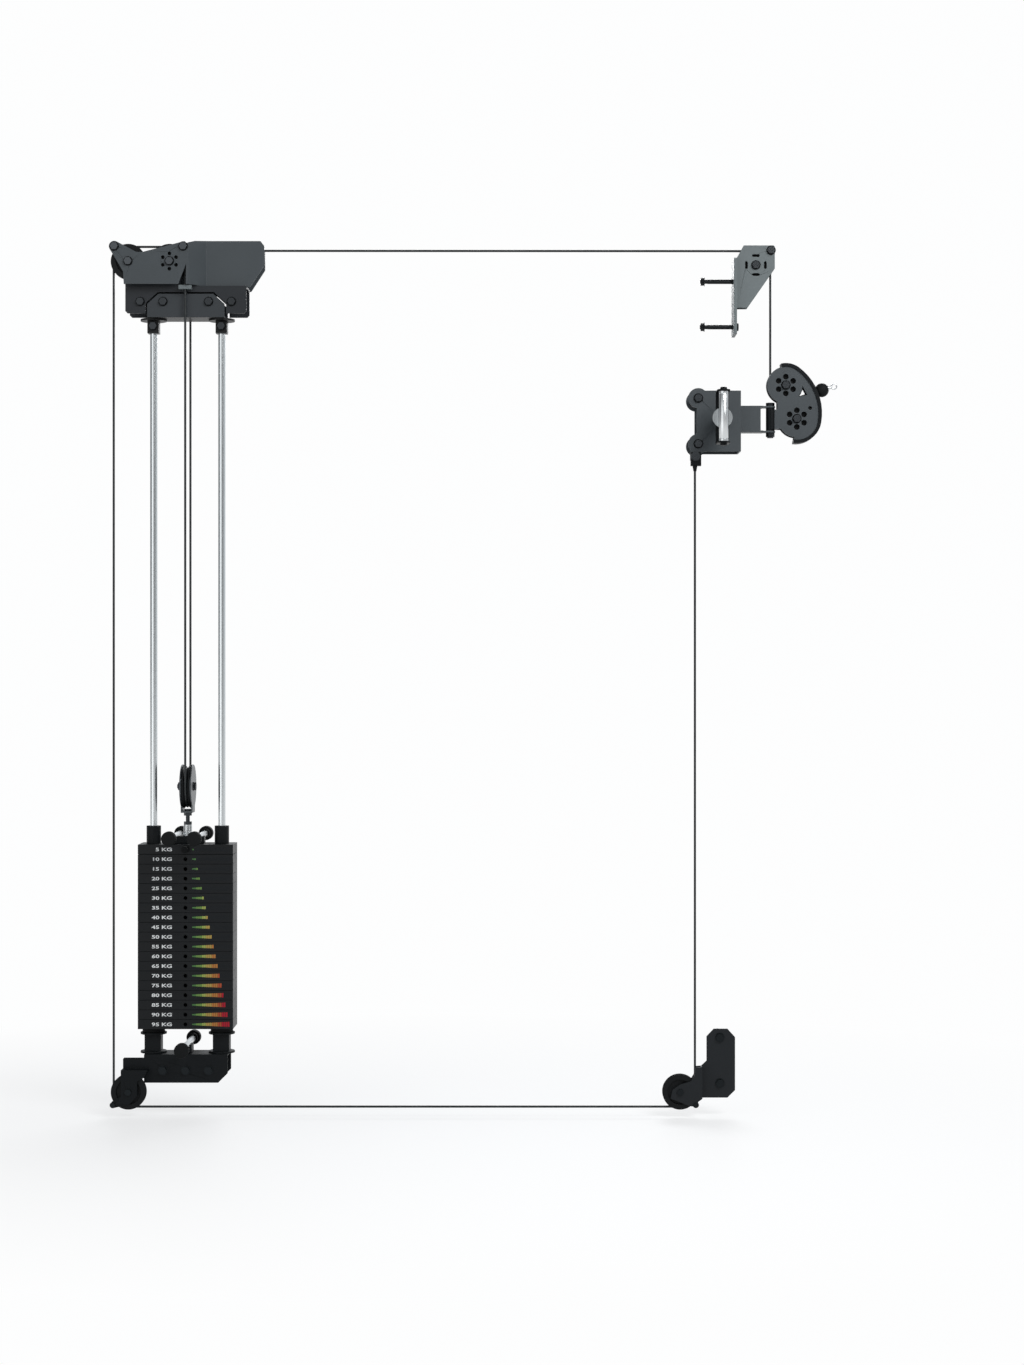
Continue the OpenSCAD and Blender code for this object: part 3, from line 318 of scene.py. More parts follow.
def bolt_steel(name, hex_highlight_color, flange_shadow_color, hex_y):
    """Blackened steel with painted light: the flange is painted dark as the shadow gap round
    the head, and the hex beyond hex_y is painted lighter as its highlight, with a random tone
    of wear.
    """
    finish = Finish(name, 0.28, metallic=1.0)
    wear = finish.noise(scale=420.0, roughness=0.6)
    lit_hex = finish.clouded(wear, hex_highlight_color, dark=0.86, light=1.12)
    # Painted light: the hex gets the painted highlight and the flange the painted shadow
    highlight_mask = abs(finish.coordinate("Y")).above(hex_y)
    finish.set("Base Color", finish.tint(highlight_mask, flange_shadow_color, lit_hex))
    finish.spread_roughness(wear, 0.10)
    finish.bump(wear, strength=0.02, depth=0.00005)
    return finish.material


def knurled(name, color):
    """Aluminium with a diamond knurl, cut by two crossed sets of grooves."""
    finish = Finish(name, 0.3, metallic=1.0)
    grooves = []
    for turn in (0.7, -0.7):
        place = finish.node(
            "ShaderNodeMapping", {"Vector": finish.place, "Rotation": (0, turn, 0)}
        )
        grooves.append(
            finish.node(
                "ShaderNodeTexWave",
                {"Vector": place, "Scale": 160.0, "Distortion": 0.0},
                bands_direction="Z",
            )
        )
    crossed = grooves[0] * grooves[1]
    finish.set("Base Color", finish.clouded(crossed, color, dark=0.90, light=1.0))
    finish.bump(grooves[0] + grooves[1], strength=0.08, depth=0.0001)
    return finish.material


def rubber(name, color):
    """Dull rubber with a fine grain."""
    finish = Finish(name, 0.68, specular=0.14)
    cloud = finish.noise(scale=60.0, detail=4.0)
    grain = finish.noise(scale=1100.0)
    finish.set("Base Color", finish.clouded(cloud, color, dark=0.75, light=1.35))
    finish.spread_roughness(cloud, 0.14)
    finish.bump(grain, strength=0.12, depth=0.0002)
    return finish.material


def coated_cable(name, color):
    """Black nylon over stranded steel: the strands show as a faint lay."""
    finish = Finish(name, 0.36, coat=0.1, specular=0.35)
    lay = finish.node(
        "ShaderNodeTexWave",
        {"Vector": finish.place, "Scale": 260.0, "Distortion": 1.0},
        bands_direction="DIAGONAL",
    )
    cloud = finish.noise(scale=25.0)
    finish.set("Base Color", finish.clouded(cloud, color, dark=0.8, light=1.4))
    finish.spread_roughness(cloud, 0.12)
    finish.bump(lay, strength=0.05, depth=0.0001)
    return finish.material


def printed(name, color):
    """Screen print, slightly uneven."""
    finish = Finish(name, 0.5, specular=0.15)
    wear = finish.noise(scale=300.0)
    finish.set("Base Color", finish.clouded(wear, color, dark=0.88, light=1.0))
    return finish.material


# The rod holder is slate above its sockets and flanges; under that height it is painted
# near-black, a painted shade for their undersides
HOLDER_SOCKET_H = 0.038
HOLDER_PAINTED_SHADE = (0.0030, 0.0036, 0.0040)
holder_shade_split = (low("rod_holder")[2] + HOLDER_SOCKET_H, HOLDER_PAINTED_SHADE)

FINISHES = {
    "slate_paint": powder_coat("slate_paint", (0.046, 0.055, 0.061)),
    "dark_paint": powder_coat("dark_paint", (0.0160, 0.0186, 0.0220), specular=0.24),
    "grey_paint": powder_coat("grey_paint", (0.122, 0.143, 0.148)),
    "soot_paint": powder_coat(
        "soot_paint", (0.0120, 0.0142, 0.0165), coat=0.0, specular=0.2
    ),
    "black_paint": powder_coat(
        "black_paint", (0.0052, 0.0066, 0.0077), coat=0.0, specular=0.12
    ),
    "holder_paint_and_shade": powder_coat(
        "holder_paint_and_shade", (0.0350, 0.0400, 0.0445), specular=0.2, shade_below=holder_shade_split
    ),
    "plate_iron": cast_plate("plate_iron", (0.0020, 0.0032, 0.0044)),
    "pulley_plastic": moulded("pulley_plastic", (0.0036, 0.0044, 0.0050)),
    "cable_coat": coated_cable("cable_coat", (0.0105, 0.0130, 0.0140)),
    "black_bolt": bare_metal("black_bolt", (0.036, 0.040, 0.044), 0.28),
    "dull_bolt": bare_metal("dull_bolt", (0.018, 0.021, 0.023), 0.40),
    "rod_chrome": bare_metal(
        "rod_chrome", (0.64, 0.67, 0.68), 0.22, stretch=(1.0, 1.0, 0.004), spread=0.02
    ),
    "stem_steel": bare_metal("stem_steel", (0.50, 0.52, 0.53), 0.26),
    "yoke_steel": bare_metal("yoke_steel", (0.072, 0.080, 0.086), 0.36),
    "black_rubber": rubber("black_rubber", (0.0052, 0.0060, 0.0064)),
    "glide_plastic": moulded("glide_plastic", (0.60, 0.61, 0.60), 0.4),
    "grip_alu": knurled("grip_alu", (0.70, 0.72, 0.73)),
    "fitting_steel": bare_metal("fitting_steel", (0.62, 0.64, 0.65), 0.24),
}

# Nodes whose finish in the photograph is duller than the rest of their slot
OWN_FINISH = {
    # The rod holder's finish carries painted shade under its sockets and flanges
    "rod_holder": "holder_paint_and_shade",
    "lower_front_bracket": "soot_paint",
    "lower_bracket_bolts": "dull_bolt",
    "lower_front_bolts": "dull_bolt",
}

# Bolts along Y: how light the hex is painted as its highlight, how dark the flange under it
# is painted as the shadow gap round the head, and how far the flange's face lies behind the
# node's outermost point
HEX_DEPTH = 0.005
# The heads on the rollers' axles lie this far behind the head of the anchor's bolt
ROLLER_BOLT_INSET = 0.0175
BOLT_HIGHLIGHT_SHADOW_TONES = {
    "beam_bolts": (0.046, 0.011, HEX_DEPTH),
    "housing_bolts": (0.080, 0.013, HEX_DEPTH),
    "trolley_bolts": (0.080, 0.013, HEX_DEPTH + ROLLER_BOLT_INSET),
    "head_axles": (0.080, 0.013, HEX_DEPTH),
    "rod_bolts": (0.050, 0.012, HEX_DEPTH),
    "upper_front_bolts": (0.062, 0.020, HEX_DEPTH),
}
STEEL_CAST = (0.92, 1.0, 1.08)

for node, (hex_highlight_tone, flange_shadow_tone, depth) in BOLT_HIGHLIGHT_SHADOW_TONES.items():
    finish_name = f"{node}_steel"
    FINISHES[finish_name] = bolt_steel(
        finish_name,
        hex_highlight_color=shade(STEEL_CAST, hex_highlight_tone),
        flange_shadow_color=shade(STEEL_CAST, flange_shadow_tone),
        hex_y=-low(node)[1] - depth,
    )
    OWN_FINISH[node] = finish_name


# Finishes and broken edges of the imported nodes

USUAL_EDGE = 0.0007
EDGE_WIDTH = {
    "black_bolt": 0.0012,
    "black_rubber": 0.0012,
    "pulley_plastic": 0.0008,
    "stem_steel": 0.0008,
}
EDGE_ANGLE = math.radians(38)
MERGE_DISTANCE = 1e-6
FLAT_FACE_WEIGHT = 80
SMOOTH_NODES = ("cable_", "guide_rods", "pin_spring")


def finish_node(name):
    mesh = nodes[name].data
    mesh.materials.clear()
    mesh.materials.append(FINISHES[OWN_FINISH.get(name, slot_of[name])])


def soften_edges(obj, width):
    """Broken edges that catch the light, as on cut and coated steel."""
    weld = obj.modifiers.new("weld", "WELD")
    weld.merge_threshold = MERGE_DISTANCE
    bevel = obj.modifiers.new("edges", "BEVEL")
    bevel.width = width
    bevel.segments = 2
    bevel.limit_method = "ANGLE"
    bevel.angle_limit = EDGE_ANGLE
    normals = obj.modifiers.new("normals", "WEIGHTED_NORMAL")
    normals.weight = FLAT_FACE_WEIGHT


for name in nodes:
    finish_node(name)
    if not name.startswith(SMOOTH_NODES):
        soften_edges(nodes[name], EDGE_WIDTH.get(slot_of[name], USUAL_EDGE))


# Mesh helpers

SHARP_ANGLE = 35.0
ROUND_ANGLE = 60.0
# Sizes of the small steps that break the edges of blocks and of flat plates
SLAB_EDGE = 0.0008
PLATE_EDGE = 0.0006


def mesh_from(bm, name):
    mesh = bpy.data.meshes.new(name)
    bm.to_mesh(mesh)
    bm.free()
    return mesh


def piece_from(bm, name, body, slot, smooth_angle=SHARP_ANGLE):
    """Turns a bmesh into a finished piece that rides on a body, if one is given."""
    bmesh.ops.recalc_face_normals(bm, faces=bm.faces)
    mesh = mesh_from(bm, name)
    obj = put_in_scene(name, mesh)
    mesh.materials.append(FINISHES[slot])
    mesh.shade_smooth()
    mesh.set_sharp_from_angle(angle=math.radians(smooth_angle))
    if body:
        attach(obj, body)
    return obj


def aim(direction, at):
    """A transform that turns +Z to a direction and moves to a point."""
    turn = Vector((0, 0, 1)).rotation_difference(Vector(direction))
    return Matrix.Translation(at) @ turn.to_matrix().to_4x4()


def turned(profile, steps):
    """Spins a profile of (radius, height) points once about Z."""
    bm = bmesh.new()
    points = [bm.verts.new((r, 0, z)) for r, z in profile]
    edges = [bm.edges.new(pair) for pair in zip(points, points[1:])]
    bmesh.ops.spin(
        bm,
        geom=points + edges,
        cent=(0, 0, 0),
        axis=(0, 0, 1),
        angle=math.tau,
        steps=steps,
        use_merge=True,
    )
    bmesh.ops.remove_doubles(bm, verts=bm.verts, dist=MERGE_DISTANCE)
    return bm


def turned_piece(name, profile, direction, at, body, slot, steps=64):
    """A turned piece whose profile starts at a point and runs along a direction."""
    bm = turned(profile, steps)
    bmesh.ops.transform(bm, matrix=aim(direction, at), verts=bm.verts)
    return piece_from(bm, name, body, slot)


def slab(name, low_corner, high_corner, body, slot):
    """A block between two corners, with broken edges."""
    bm = bmesh.new()
    bmesh.ops.create_cube(bm, size=1.0)
    for vert in bm.verts:
        vert.co = [
            b if c > 0 else a for a, b, c in zip(low_corner, high_corner, vert.co)
        ]
    bmesh.ops.bevel(bm, geom=bm.edges[:], offset=SLAB_EDGE, segments=2, affect="EDGES")
    return piece_from(bm, name, body, slot)


def new_verts(made):
    return [g for g in made["geom"] if isinstance(g, bmesh.types.BMVert)]


def flat_plate(name, outline, floor, thick, body, slot):
    """A flat plate cut to an outline of (x, y) points, with broken edges."""
    bm = bmesh.new()
    base = bm.faces.new([bm.verts.new((x, y, floor)) for x, y in outline])
    made = bmesh.ops.extrude_face_region(bm, geom=[base])
    bmesh.ops.translate(bm, verts=new_verts(made), vec=(0, 0, thick))
    rim = [e for e in bm.edges if abs(e.verts[0].co.z - e.verts[1].co.z) < thick / 2]
    bmesh.ops.bevel(bm, geom=rim, offset=PLATE_EDGE, segments=2, affect="EDGES")
    return piece_from(bm, name, body, slot)


# Cable stretches that change length

CABLE_R = 0.003
CABLE_Y = 0.053
CABLE_SIDES = 16
CABLE_RINGS = 12
EXIT_TURN = math.radians(17)


def cable_tube(start, end):
    """A round cord between two points, in equal lengths that keep their end discs inside."""
    start, end = Vector(start), Vector(end)
    lift = (end - start).length / CABLE_RINGS
    bm = bmesh.new()
    bmesh.ops.create_circle(bm, cap_ends=True, radius=CABLE_R, segments=CABLE_SIDES)
    face = bm.faces[:][0]
    for _ in range(CABLE_RINGS):
        made = bmesh.ops.extrude_face_region(bm, geom=[face])
        bmesh.ops.translate(bm, verts=new_verts(made), vec=(0, 0, lift))
        face = next(g for g in made["geom"] if isinstance(g, bmesh.types.BMFace))
    bmesh.ops.transform(bm, matrix=aim(end - start, start), verts=bm.verts)
    return bm


def cable_stretch(name, node, start, end):
    tube = piece_from(cable_tube(start, end), name, None, "cable_coat", ROUND_ANGLE)
    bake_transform(tube)
    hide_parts(node)


riser_x, _, riser_top = high("cable_riser")
riser_x -= CABLE_R
cable_stretch(
    "cable_riser_tube", "cable_riser",
    (riser_x, -CABLE_Y, low("cable_riser")[2]), (riser_x, -CABLE_Y, riser_top),
)
drop_x = high("cable_drop")[0] - CABLE_R
cable_stretch(
    "cable_drop_tube", "cable_drop",
    (drop_x, 0, high("cable_drop")[2]), (drop_x, 0, low("cable_drop")[2]),
)
fall_low = low("cable_falls")[2]
cable_stretch(
    "cable_near_fall_tube", "cable_falls",
    (0, -CABLE_Y, middle("near_top_pulley")[2]), (0, -CABLE_Y, fall_low),
)
cable_stretch(
    "cable_far_fall_tube", "cable_falls",
    (0, CABLE_Y, middle("far_top_pulley")[2]), (0, CABLE_Y, fall_low),
)

# The cable leaves the head at a slope, so its box reaches past the ends of its axis
exit_way = Vector((math.cos(EXIT_TURN), 0, math.sin(EXIT_TURN)))
stub_low, stub_high = (Vector(corner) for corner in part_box("cable_stub"))
inset_x = CABLE_R * math.sin(EXIT_TURN)
inset_z = CABLE_R * math.cos(EXIT_TURN)
stub_start = Vector((stub_low.x + inset_x, 0, stub_low.z + inset_z))
stub_end = Vector((stub_high.x - inset_x, 0, stub_high.z - inset_z))
cable_stretch("cable_stub_tube", "cable_stub", stub_start, stub_end)


# Return spring of the pull pin, hidden in its housing

SPRING_WIRE_R = 0.0009
SPRING_WIRE_SIDES = 10
SPRING_TURNS = 8
SPRING_STEPS = 20


def return_spring():
    """A coil of even pitch that fills the spring's box from its inner end to its outer end.
    """
    outer, inner = low("pin_spring"), high("pin_spring")
    x, _, z = middle("pin_spring")
    steps = SPRING_TURNS * SPRING_STEPS
    rise = (inner[1] - outer[1] - 2 * SPRING_WIRE_R) / steps
    coil_r = (inner[0] - outer[0]) / 2 - SPRING_WIRE_R
    bm = bmesh.new()
    bmesh.ops.create_circle(bm, radius=SPRING_WIRE_R, segments=SPRING_WIRE_SIDES)
    stand = Matrix.Translation((coil_r, 0, 0)) @ Matrix.Rotation(math.radians(90), 4, "X")
    bmesh.ops.transform(bm, matrix=stand, verts=bm.verts)
    bmesh.ops.spin(
        bm, geom=bm.verts[:] + bm.edges[:], axis=(0, 0, 1), dvec=(0, 0, rise),
        angle=math.tau * SPRING_TURNS, steps=steps,
    )
    bmesh.ops.holes_fill(bm, edges=bm.edges)
    start = (x, inner[1] - SPRING_WIRE_R, z)
    bmesh.ops.transform(bm, matrix=aim((0, -1, 0), start), verts=bm.verts)
    coil = piece_from(bm, "return_spring_coil", "trolley", "fitting_steel", ROUND_ANGLE)
    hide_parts("pin_spring")
    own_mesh(coil)


return_spring()


# Band pegs

PEG_CAP_R = 0.019
PEG_SHAFT_R = 0.008
PEG_NECK_R = 0.0128
PEG_CAP = [
    (0, 0), (0.0155, 0), (0.0180, 0.0008), (PEG_CAP_R, 0.0026), (PEG_CAP_R, 0.0214),
    (0.0182, 0.0234), (0.0164, 0.0240), (PEG_NECK_R, 0.0240), (PEG_NECK_R, 0.0345),
    (0.0120, 0.0354), (PEG_SHAFT_R, 0.0354),
]
PEG_SHAFT_START = 0.034
PEG_SHAFT_STEPS = 48
UPPER_BLOCK_PAST_PEG = 0.012
UPPER_BLOCK_HALF_Y = 0.015
LOWER_BLOCK_HALF_X = 0.013
LOWER_BLOCK_HALF_Y = 0.022


def band_peg(name, node, x, body):
    """A steel peg with a rubber cap and neck at both ends."""
    reach = high(node)[1]
    z = high(node)[2] - PEG_CAP_R
    shaft_l = 2 * (reach - PEG_SHAFT_START)
    shaft = [
        (0, 0), (PEG_SHAFT_R, 0), (PEG_SHAFT_R, shaft_l / 2),
        (PEG_SHAFT_R, shaft_l), (0, shaft_l),
    ]
    pieces = [
        turned_piece(
            f"{name}_near_cap", PEG_CAP, (0, 1, 0), (x, -reach, z), body, "black_rubber"
        ),
        turned_piece(
            f"{name}_far_cap", PEG_CAP, (0, -1, 0), (x, reach, z), body, "black_rubber"
        ),
        turned_piece(
            f"{name}_shaft", shaft, (0, 1, 0), (x, PEG_SHAFT_START - reach, z),
            body, "fitting_steel", PEG_SHAFT_STEPS,
        ),
    ]
    for piece in pieces:
        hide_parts(node)


def peg_block(name, node, half_x, half_y, body):
    """The welded block under a peg."""
    top = high(node)[2] - PEG_CAP_R
    block = slab(
        name, (-half_x, -half_y, low(node)[2]), (half_x, half_y, top), body, "black_paint"
    )
    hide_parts(node)


upper_peg_x = high("upper_band_pegs")[0] - PEG_CAP_R
band_peg("left_peg", "upper_band_pegs", -upper_peg_x, "lifted_stack")
band_peg("right_peg", "upper_band_pegs", upper_peg_x, "lifted_stack")
peg_block(
    "upper_peg_block", "upper_band_pegs", upper_peg_x + UPPER_BLOCK_PAST_PEG,
    UPPER_BLOCK_HALF_Y, "lifted_stack",
)
band_peg("lower_peg", "lower_band_peg", 0, "rack_mounted")
peg_block(
    "lower_peg_block", "lower_band_peg", LOWER_BLOCK_HALF_X, LOWER_BLOCK_HALF_Y,
    "rack_mounted",
)


# Pull handle

ARM_T = 0.004
ARM_ARC_STEP = 12
KNOB_H = 0.007
KNOB_R = 0.009
KNOB_STEPS = 32
GRIP_R = 0.0123
GRIP_END_R = 0.0113
GRIP_GROOVE_R = 0.0117
GRIP_KNURL_R = 0.0121
GRIP_STEPS = 72
grip_x, _, grip_z = middle("pull_grip")
grip_half_w = high("pull_grip")[0] - grip_x
strap_back = high("pull_grip")[1]
grip_y = low("pull_grip")[1] + grip_half_w
grip_half_l = high("pull_grip")[2] - grip_z - KNOB_H - ARM_T


def arm_outline():
    """One arm of the handle from above: straight from the strap, round at the grip."""
    arc = [
        (
            grip_x + grip_half_w * math.cos(math.radians(a)),
            grip_y + grip_half_w * math.sin(math.radians(a)),
        )
        for a in range(180, 361, ARM_ARC_STEP)
    ]
    back = strap_back - ARM_T / 2
    return arc + [(grip_x + grip_half_w, back), (grip_x - grip_half_w, back)]


def grip_profile():
    """Half section of the grip: plain rings at both ends, knurled between them."""
    length = 2 * grip_half_l
    end = [
        (0, 0), (GRIP_END_R, 0), (GRIP_R, 0.0010), (GRIP_R, 0.0062),
        (GRIP_GROOVE_R, 0.0068), (GRIP_GROOVE_R, 0.0082), (GRIP_KNURL_R, 0.0088),
    ]
    return end + [(r, length - z) for r, z in reversed(end)]


def knob_profile():
    return [
        (0, 0), (KNOB_R, 0), (KNOB_R, KNOB_H * 0.55), (KNOB_R * 0.86, KNOB_H * 0.86),
        (KNOB_R * 0.5, KNOB_H), (0, KNOB_H),
    ]


def pull_handle():
    body = "pull_handle"
    strap_top = grip_half_l + ARM_T
    pieces = [
        slab(
            "grip_strap",
            (grip_x - grip_half_w, strap_back - ARM_T, grip_z - strap_top),
            (grip_x + grip_half_w, strap_back, grip_z + strap_top),
            body, "black_paint",
        ),
        turned_piece(
            "grip_sleeve", grip_profile(), (0, 0, 1), (grip_x, grip_y, grip_z - grip_half_l),
            body, "grip_alu", GRIP_STEPS,
        ),
    ]
    for side, word in ((-1, "low"), (1, "high")):
        near = grip_z + side * grip_half_l
        far = near + side * ARM_T
        pieces.append(
            flat_plate(
                f"grip_arm_{word}", arm_outline(), min(near, far), ARM_T, body, "black_paint"
            )
        )
        pieces.append(
            turned_piece(
                f"grip_knob_{word}", knob_profile(), (0, 0, side), (grip_x, grip_y, far),
                body, "black_paint", KNOB_STEPS,
            )
        )
    for piece in pieces:
        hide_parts("pull_grip")


pull_handle()


# Cable end

BALL_R = 0.0184
BALL_FLAT = 0.0164
BALL_STEPS = 32
BALL_SEAM = 0.9965
EYE_R = 0.009
EYE_BORE_R = 0.005
EYE_HALF_T = 0.0038
EYE_SIDES = 20
NECK_R = 0.004
NECK_COLLAR_R = 0.0072
NECK_COLLAR_H = 0.0018
NECK_SHOULDER_H = 0.0026
NECK_IN_EYE = 0.002
NECK_STEPS = 32
eye_mount = next(row for row in frame["record"]["mounts"] if row["name"] == "cable_eye")


def ball_profile():
    """Half section of the stopper ball, with a fine mould line round its middle."""
    points = [(0, -BALL_FLAT)]
    limit = math.acos(BALL_FLAT / BALL_R)
    for i in range(BALL_STEPS + 1):
        angle = limit + (math.pi - 2 * limit) * i / BALL_STEPS
        seam = BALL_SEAM if i == BALL_STEPS // 2 else 1.0
        points.append((BALL_R * seam * math.sin(angle), -BALL_R * math.cos(angle)))
    return points + [(0, BALL_FLAT)]


def eye_profile():
    """Section of the cast eye, an oval that runs round the hole."""
    ring_r = (EYE_R + EYE_BORE_R) / 2
    wire_r = (EYE_R - EYE_BORE_R) / 2
    return [
        (ring_r + wire_r * math.cos(a), EYE_HALF_T * math.sin(a))
        for a in (math.tau * i / EYE_SIDES for i in range(EYE_SIDES + 1))
    ]


def cable_end():
    """The stopper ball, and a steel eye on a neck with its hole across the cable."""
    body = "pull_end"
    eye_at = Vector(eye_mount["pos_m"])
    ball_at = stub_end + exit_way * BALL_FLAT
    neck_l = (eye_at - ball_at).length - BALL_FLAT - EYE_R + NECK_IN_EYE
    neck = [
        (0, 0), (NECK_COLLAR_R, 0), (NECK_COLLAR_R, NECK_COLLAR_H), (NECK_R, NECK_SHOULDER_H),
        (NECK_R, neck_l * 0.8), (NECK_R * 0.9, neck_l), (0, neck_l),
    ]
    pieces = [
        turned_piece("stopper_ball", ball_profile(), exit_way, ball_at, body, "black_rubber"),
        turned_piece(
            "eye_neck", neck, exit_way, ball_at + exit_way * BALL_FLAT,
            body, "fitting_steel", NECK_STEPS,
        ),
        turned_piece("eye_ring", eye_profile(), (0, 1, 0), eye_at, body, "fitting_steel"),
    ]
    for piece in pieces:
        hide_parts("cable_end")


cable_end()


# Weight markings

PLATE_COUNT = 19
KG_PER_PLATE = 5
stack_low = low("weight_plates")[2]
stack_high = high("top_plate")[2]
face_y = low("weight_plates")[1]
plate_step = (stack_high - stack_low) / PLATE_COUNT
LABEL_RIGHT = -0.0345
LABEL_HEIGHT = 0.0086
LABEL_STRETCH = 1.62
LABEL_WEIGHT = 0.00030
CAPITAL_OVER_SIZE = 0.69
PRINT_THICK = 0.0003
BAR_LEFT = 0.0181
BAR_STEP = 0.00518
BAR_WIDTH = 0.0042
FIRST_BAR = 0.0034
LAST_BAR = 0.0128
BAR_GROWTH = 0.8
BARS_PER_COLOR = 2.7

BAR_COLORS = {
    "print_green": (0.085, 0.210, 0.070),
    "print_leaf": (0.170, 0.300, 0.075),
    "print_lime": (0.360, 0.420, 0.105),
    "print_gold": (0.460, 0.320, 0.085),
    "print_orange": (0.460, 0.190, 0.050),
    "print_red_orange": (0.430, 0.085, 0.035),
    "print_red": (0.400, 0.016, 0.030),
}
PRINT_WHITE = printed("print_white", (0.78, 0.80, 0.80))
bar_finishes = [printed(name, color) for name, color in BAR_COLORS.items()]
UNLIT = len(bar_finishes)
bar_finishes.append(printed("print_unlit", (0.0090, 0.0110, 0.0130)))


def row_middle(row):
    """Height of a marked row, counted from the top plate down."""
    return stack_low + (PLATE_COUNT - row + 0.5) * plate_step


def ride_on_plate(print_mesh, name, row):
    """Puts a print on the plate of its row; only the top plate is lifted."""
    obj = put_in_scene(name, print_mesh)
    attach(obj, "lifted_stack" if row == 1 else "rack_mounted")


def marking_text(row):
    """The weight figure of a row, as thin raised print."""
    name = f"marking_{row:02d}"
    curve = bpy.data.curves.new(name, "FONT")
    curve.body = f"{row * KG_PER_PLATE} KG"
    curve.size = LABEL_HEIGHT / CAPITAL_OVER_SIZE
    curve.align_x = "RIGHT"
    curve.offset = LABEL_WEIGHT
    curve.extrude = PRINT_THICK / 2
    curve.resolution_u = 3
    holder = put_in_scene(name, curve)
    bpy.context.view_layer.update()
    mesh = bpy.data.meshes.new_from_object(holder)
    bpy.data.objects.remove(holder)
    mesh.transform(Matrix.Diagonal((LABEL_STRETCH, 1.0, 1.0, 1.0)))
    mesh.transform(Matrix.Rotation(math.radians(90), 4, "X"))
    at = (LABEL_RIGHT, face_y - PRINT_THICK / 2, row_middle(row) - LABEL_HEIGHT / 2)
    mesh.transform(Matrix.Translation(at))
    mesh.materials.clear()
    mesh.materials.append(PRINT_WHITE)
    ride_on_plate(mesh, name, row)


def load_bars(row):
    """A row of bars that grow: one is colored for each plate down to this row."""
    bm = bmesh.new()
    for column in range(PLATE_COUNT):
        grow = column / (PLATE_COUNT - 1)
        tall = FIRST_BAR + (LAST_BAR - FIRST_BAR) * grow**BAR_GROWTH
        made = bmesh.ops.create_cube(bm, size=1.0)["verts"]
        bmesh.ops.scale(bm, vec=(BAR_WIDTH, PRINT_THICK, tall), verts=made)
        x = BAR_LEFT + column * BAR_STEP + BAR_WIDTH / 2
        at = (x, face_y - PRINT_THICK / 2, row_middle(row))
        bmesh.ops.translate(bm, vec=at, verts=made)
        lit = min(UNLIT - 1, round(column / BARS_PER_COLOR))
        for face in {f for v in made for f in v.link_faces}:
            face.material_index = lit if column < row else UNLIT
    name = f"load_bars_{row:02d}"
    mesh = mesh_from(bm, name)
    for finish in bar_finishes:
        mesh.materials.append(finish)
    ride_on_plate(mesh, name, row)


for row in range(1, PLATE_COUNT + 1):
    marking_text(row)
    load_bars(row)


# Studio

BACKDROP = (0.985, 0.988, 0.990)
WORLD_FILL = 0.40
FILL_COLOR = (0.93, 0.96, 1.0)
MIRROR_COLOR = (0.94, 0.97, 1.0)
MIRROR_AXIS = (0.6, 0.8, 0.0)
MIRROR_RAMP = [
    (0.0, 0.50), (0.10, 0.46), (0.22, 0.12), (0.50, 0.36), (0.80, 0.62), (0.90, 0.96),
]
FLOOR_Z = -0.121
FLOOR_HALF = 30.0
FLOOR_BOUNCE = (0.30, 0.31, 0.32)
FLOOR_SHOWN = (0.80, 0.81, 0.82)
FLOOR_SPOT_SCALE = (0.42, 0.5, 1.0)
FLOOR_SPOT_SHIFT = (-0.25, 0.0, -FLOOR_Z)
FLOOR_SPOT_DEPTH = 0.55


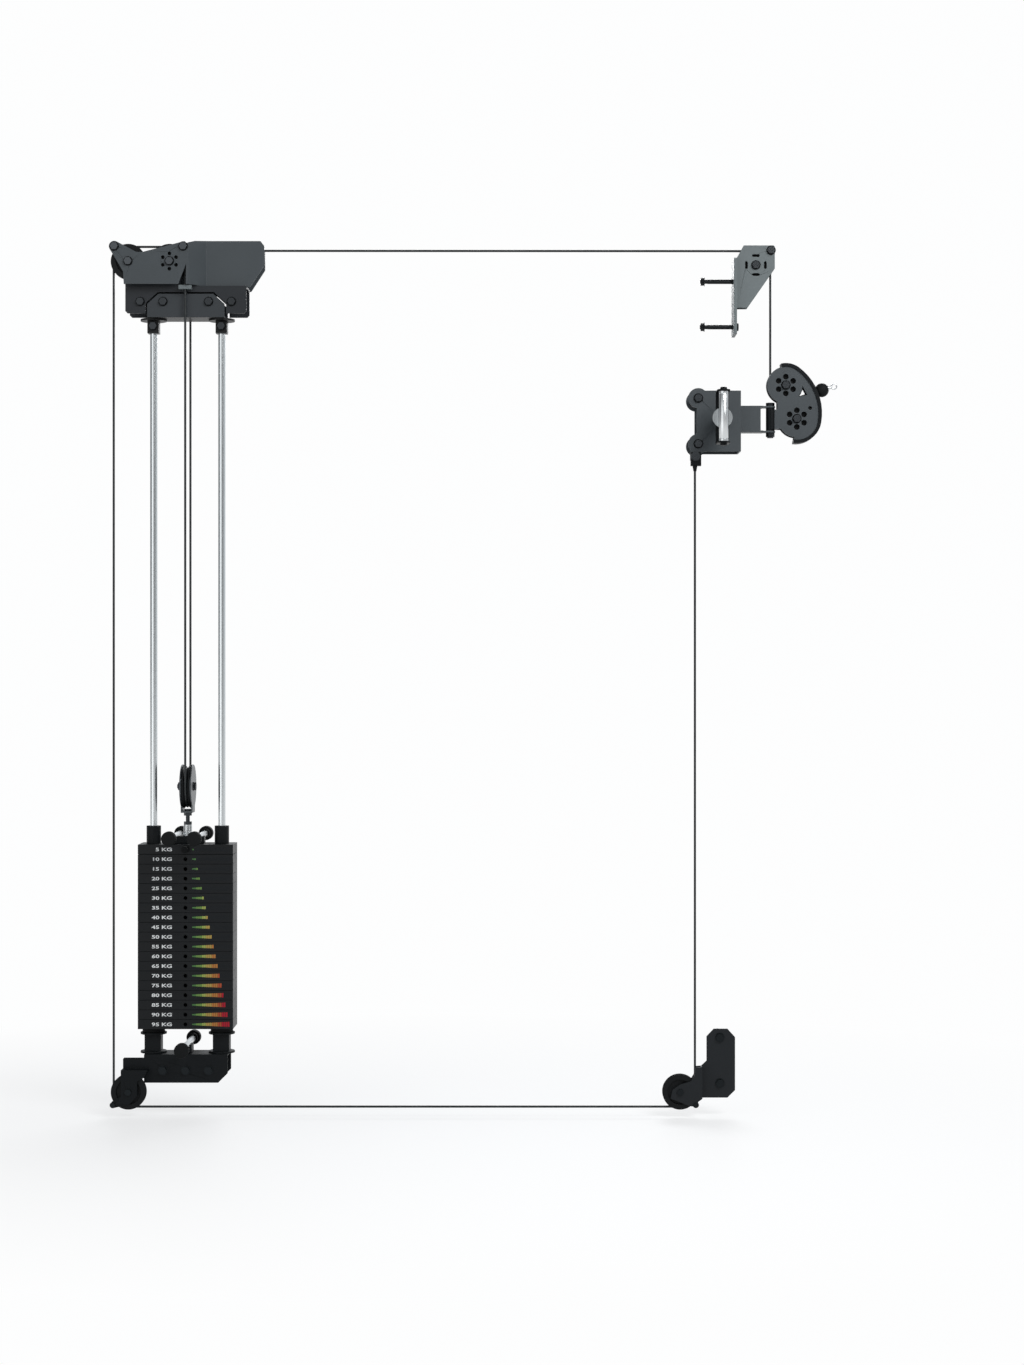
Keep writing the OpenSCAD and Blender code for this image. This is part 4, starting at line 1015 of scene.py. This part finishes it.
def add_floor():
    """White floor: shaded near the object, plain white further out and in reflections."""
    bm = bmesh.new()
    bmesh.ops.create_grid(bm, x_segments=1, y_segments=1, size=FLOOR_HALF)
    bmesh.ops.translate(bm, vec=(0, 0, FLOOR_Z), verts=bm.verts)
    mesh = mesh_from(bm, "floor")
    floor = put_in_scene("floor", mesh)
    finish = Finish("floor", 0.5)
    spot = finish.node(
        "ShaderNodeMapping",
        {"Vector": finish.place, "Location": FLOOR_SPOT_SHIFT, "Scale": FLOOR_SPOT_SCALE},
    )
    near = finish.node("ShaderNodeTexGradient", {"Vector": spot}, gradient_type="SPHERICAL")
    seen = (finish.ray("Camera") + finish.ray("Glossy")).capped(1.0)
    finish.set("Base Color", finish.tint(seen, FLOOR_BOUNCE, FLOOR_SHOWN))
    shaded = Wire(finish, finish.shader.outputs[0])
    plain = finish.node(
        "ShaderNodeEmission", {"Color": (*BACKDROP, 1.0), "Strength": 1.0}
    )
    shown = finish.node(
        "ShaderNodeMixShader",
        {0: seen * (1 - near * FLOOR_SPOT_DEPTH), 1: shaded, 2: plain},
    )
    finish.feed(finish.tree.nodes["Material Output"].inputs["Surface"], shown)
    mesh.materials.append(finish.material)


def add_world():
    """Near-white to the camera; softer and darker at the sides for reflections and fill."""
    world = bpy.data.worlds.new("studio")
    bpy.context.scene.world = world
    world.use_nodes = True
    world.node_tree.nodes.clear()
    studio = Graph(world.node_tree)

    def background(color, strength):
        return studio.node(
            "ShaderNodeBackground", {"Color": (*color, 1.0), "Strength": strength}
        )

    way = studio.node("ShaderNodeTexCoord", {}, output="Generated")
    along = studio.node(
        "ShaderNodeVectorMath", {0: way, 1: MIRROR_AXIS}, output="Value",
        operation="DOT_PRODUCT",
    )
    across = studio.node(
        "ShaderNodeMapRange", {"Value": along, "From Min": -1.0}, output="Result"
    )
    mirror_level = studio.node(
        "ShaderNodeValToRGB",
        {0: across},
        ramp=[(position, (level, level, level)) for position, level in MIRROR_RAMP],
    )
    fill = background(FILL_COLOR, WORLD_FILL)
    mirrored = background(MIRROR_COLOR, mirror_level)
    indirect = studio.node(
        "ShaderNodeMixShader", {0: studio.ray("Glossy"), 1: fill, 2: mirrored}
    )
    shown = background(BACKDROP, 1.0)
    surface = studio.node(
        "ShaderNodeMixShader", {0: studio.ray("Camera"), 1: indirect, 2: shown}
    )
    studio.node("ShaderNodeOutputWorld", {"Surface": surface})


def add_light(name, at, toward, size, watts):
    lamp = bpy.data.lights.new(name, "AREA")
    lamp.energy = watts
    lamp.shape = "RECTANGLE"
    lamp.size, lamp.size_y = size
    holder = put_in_scene(name, lamp)
    holder.location = at
    way = Vector(toward) - Vector(at)
    holder.rotation_euler = way.to_track_quat("-Z", "Y").to_euler()


add_floor()
add_world()
add_light("key", at=(3.4, -3.8, 4.5), toward=(0.7, 0, 1.1), size=(3.0, 2.2), watts=222)
add_light("fill", at=(-2.4, -4.2, 2.0), toward=(0.5, 0, 1.0), size=(4.6, 4.6), watts=56)
add_light("back", at=(1.4, 3.6, 3.4), toward=(0.7, 0, 1.0), size=(3.0, 1.6), watts=110)
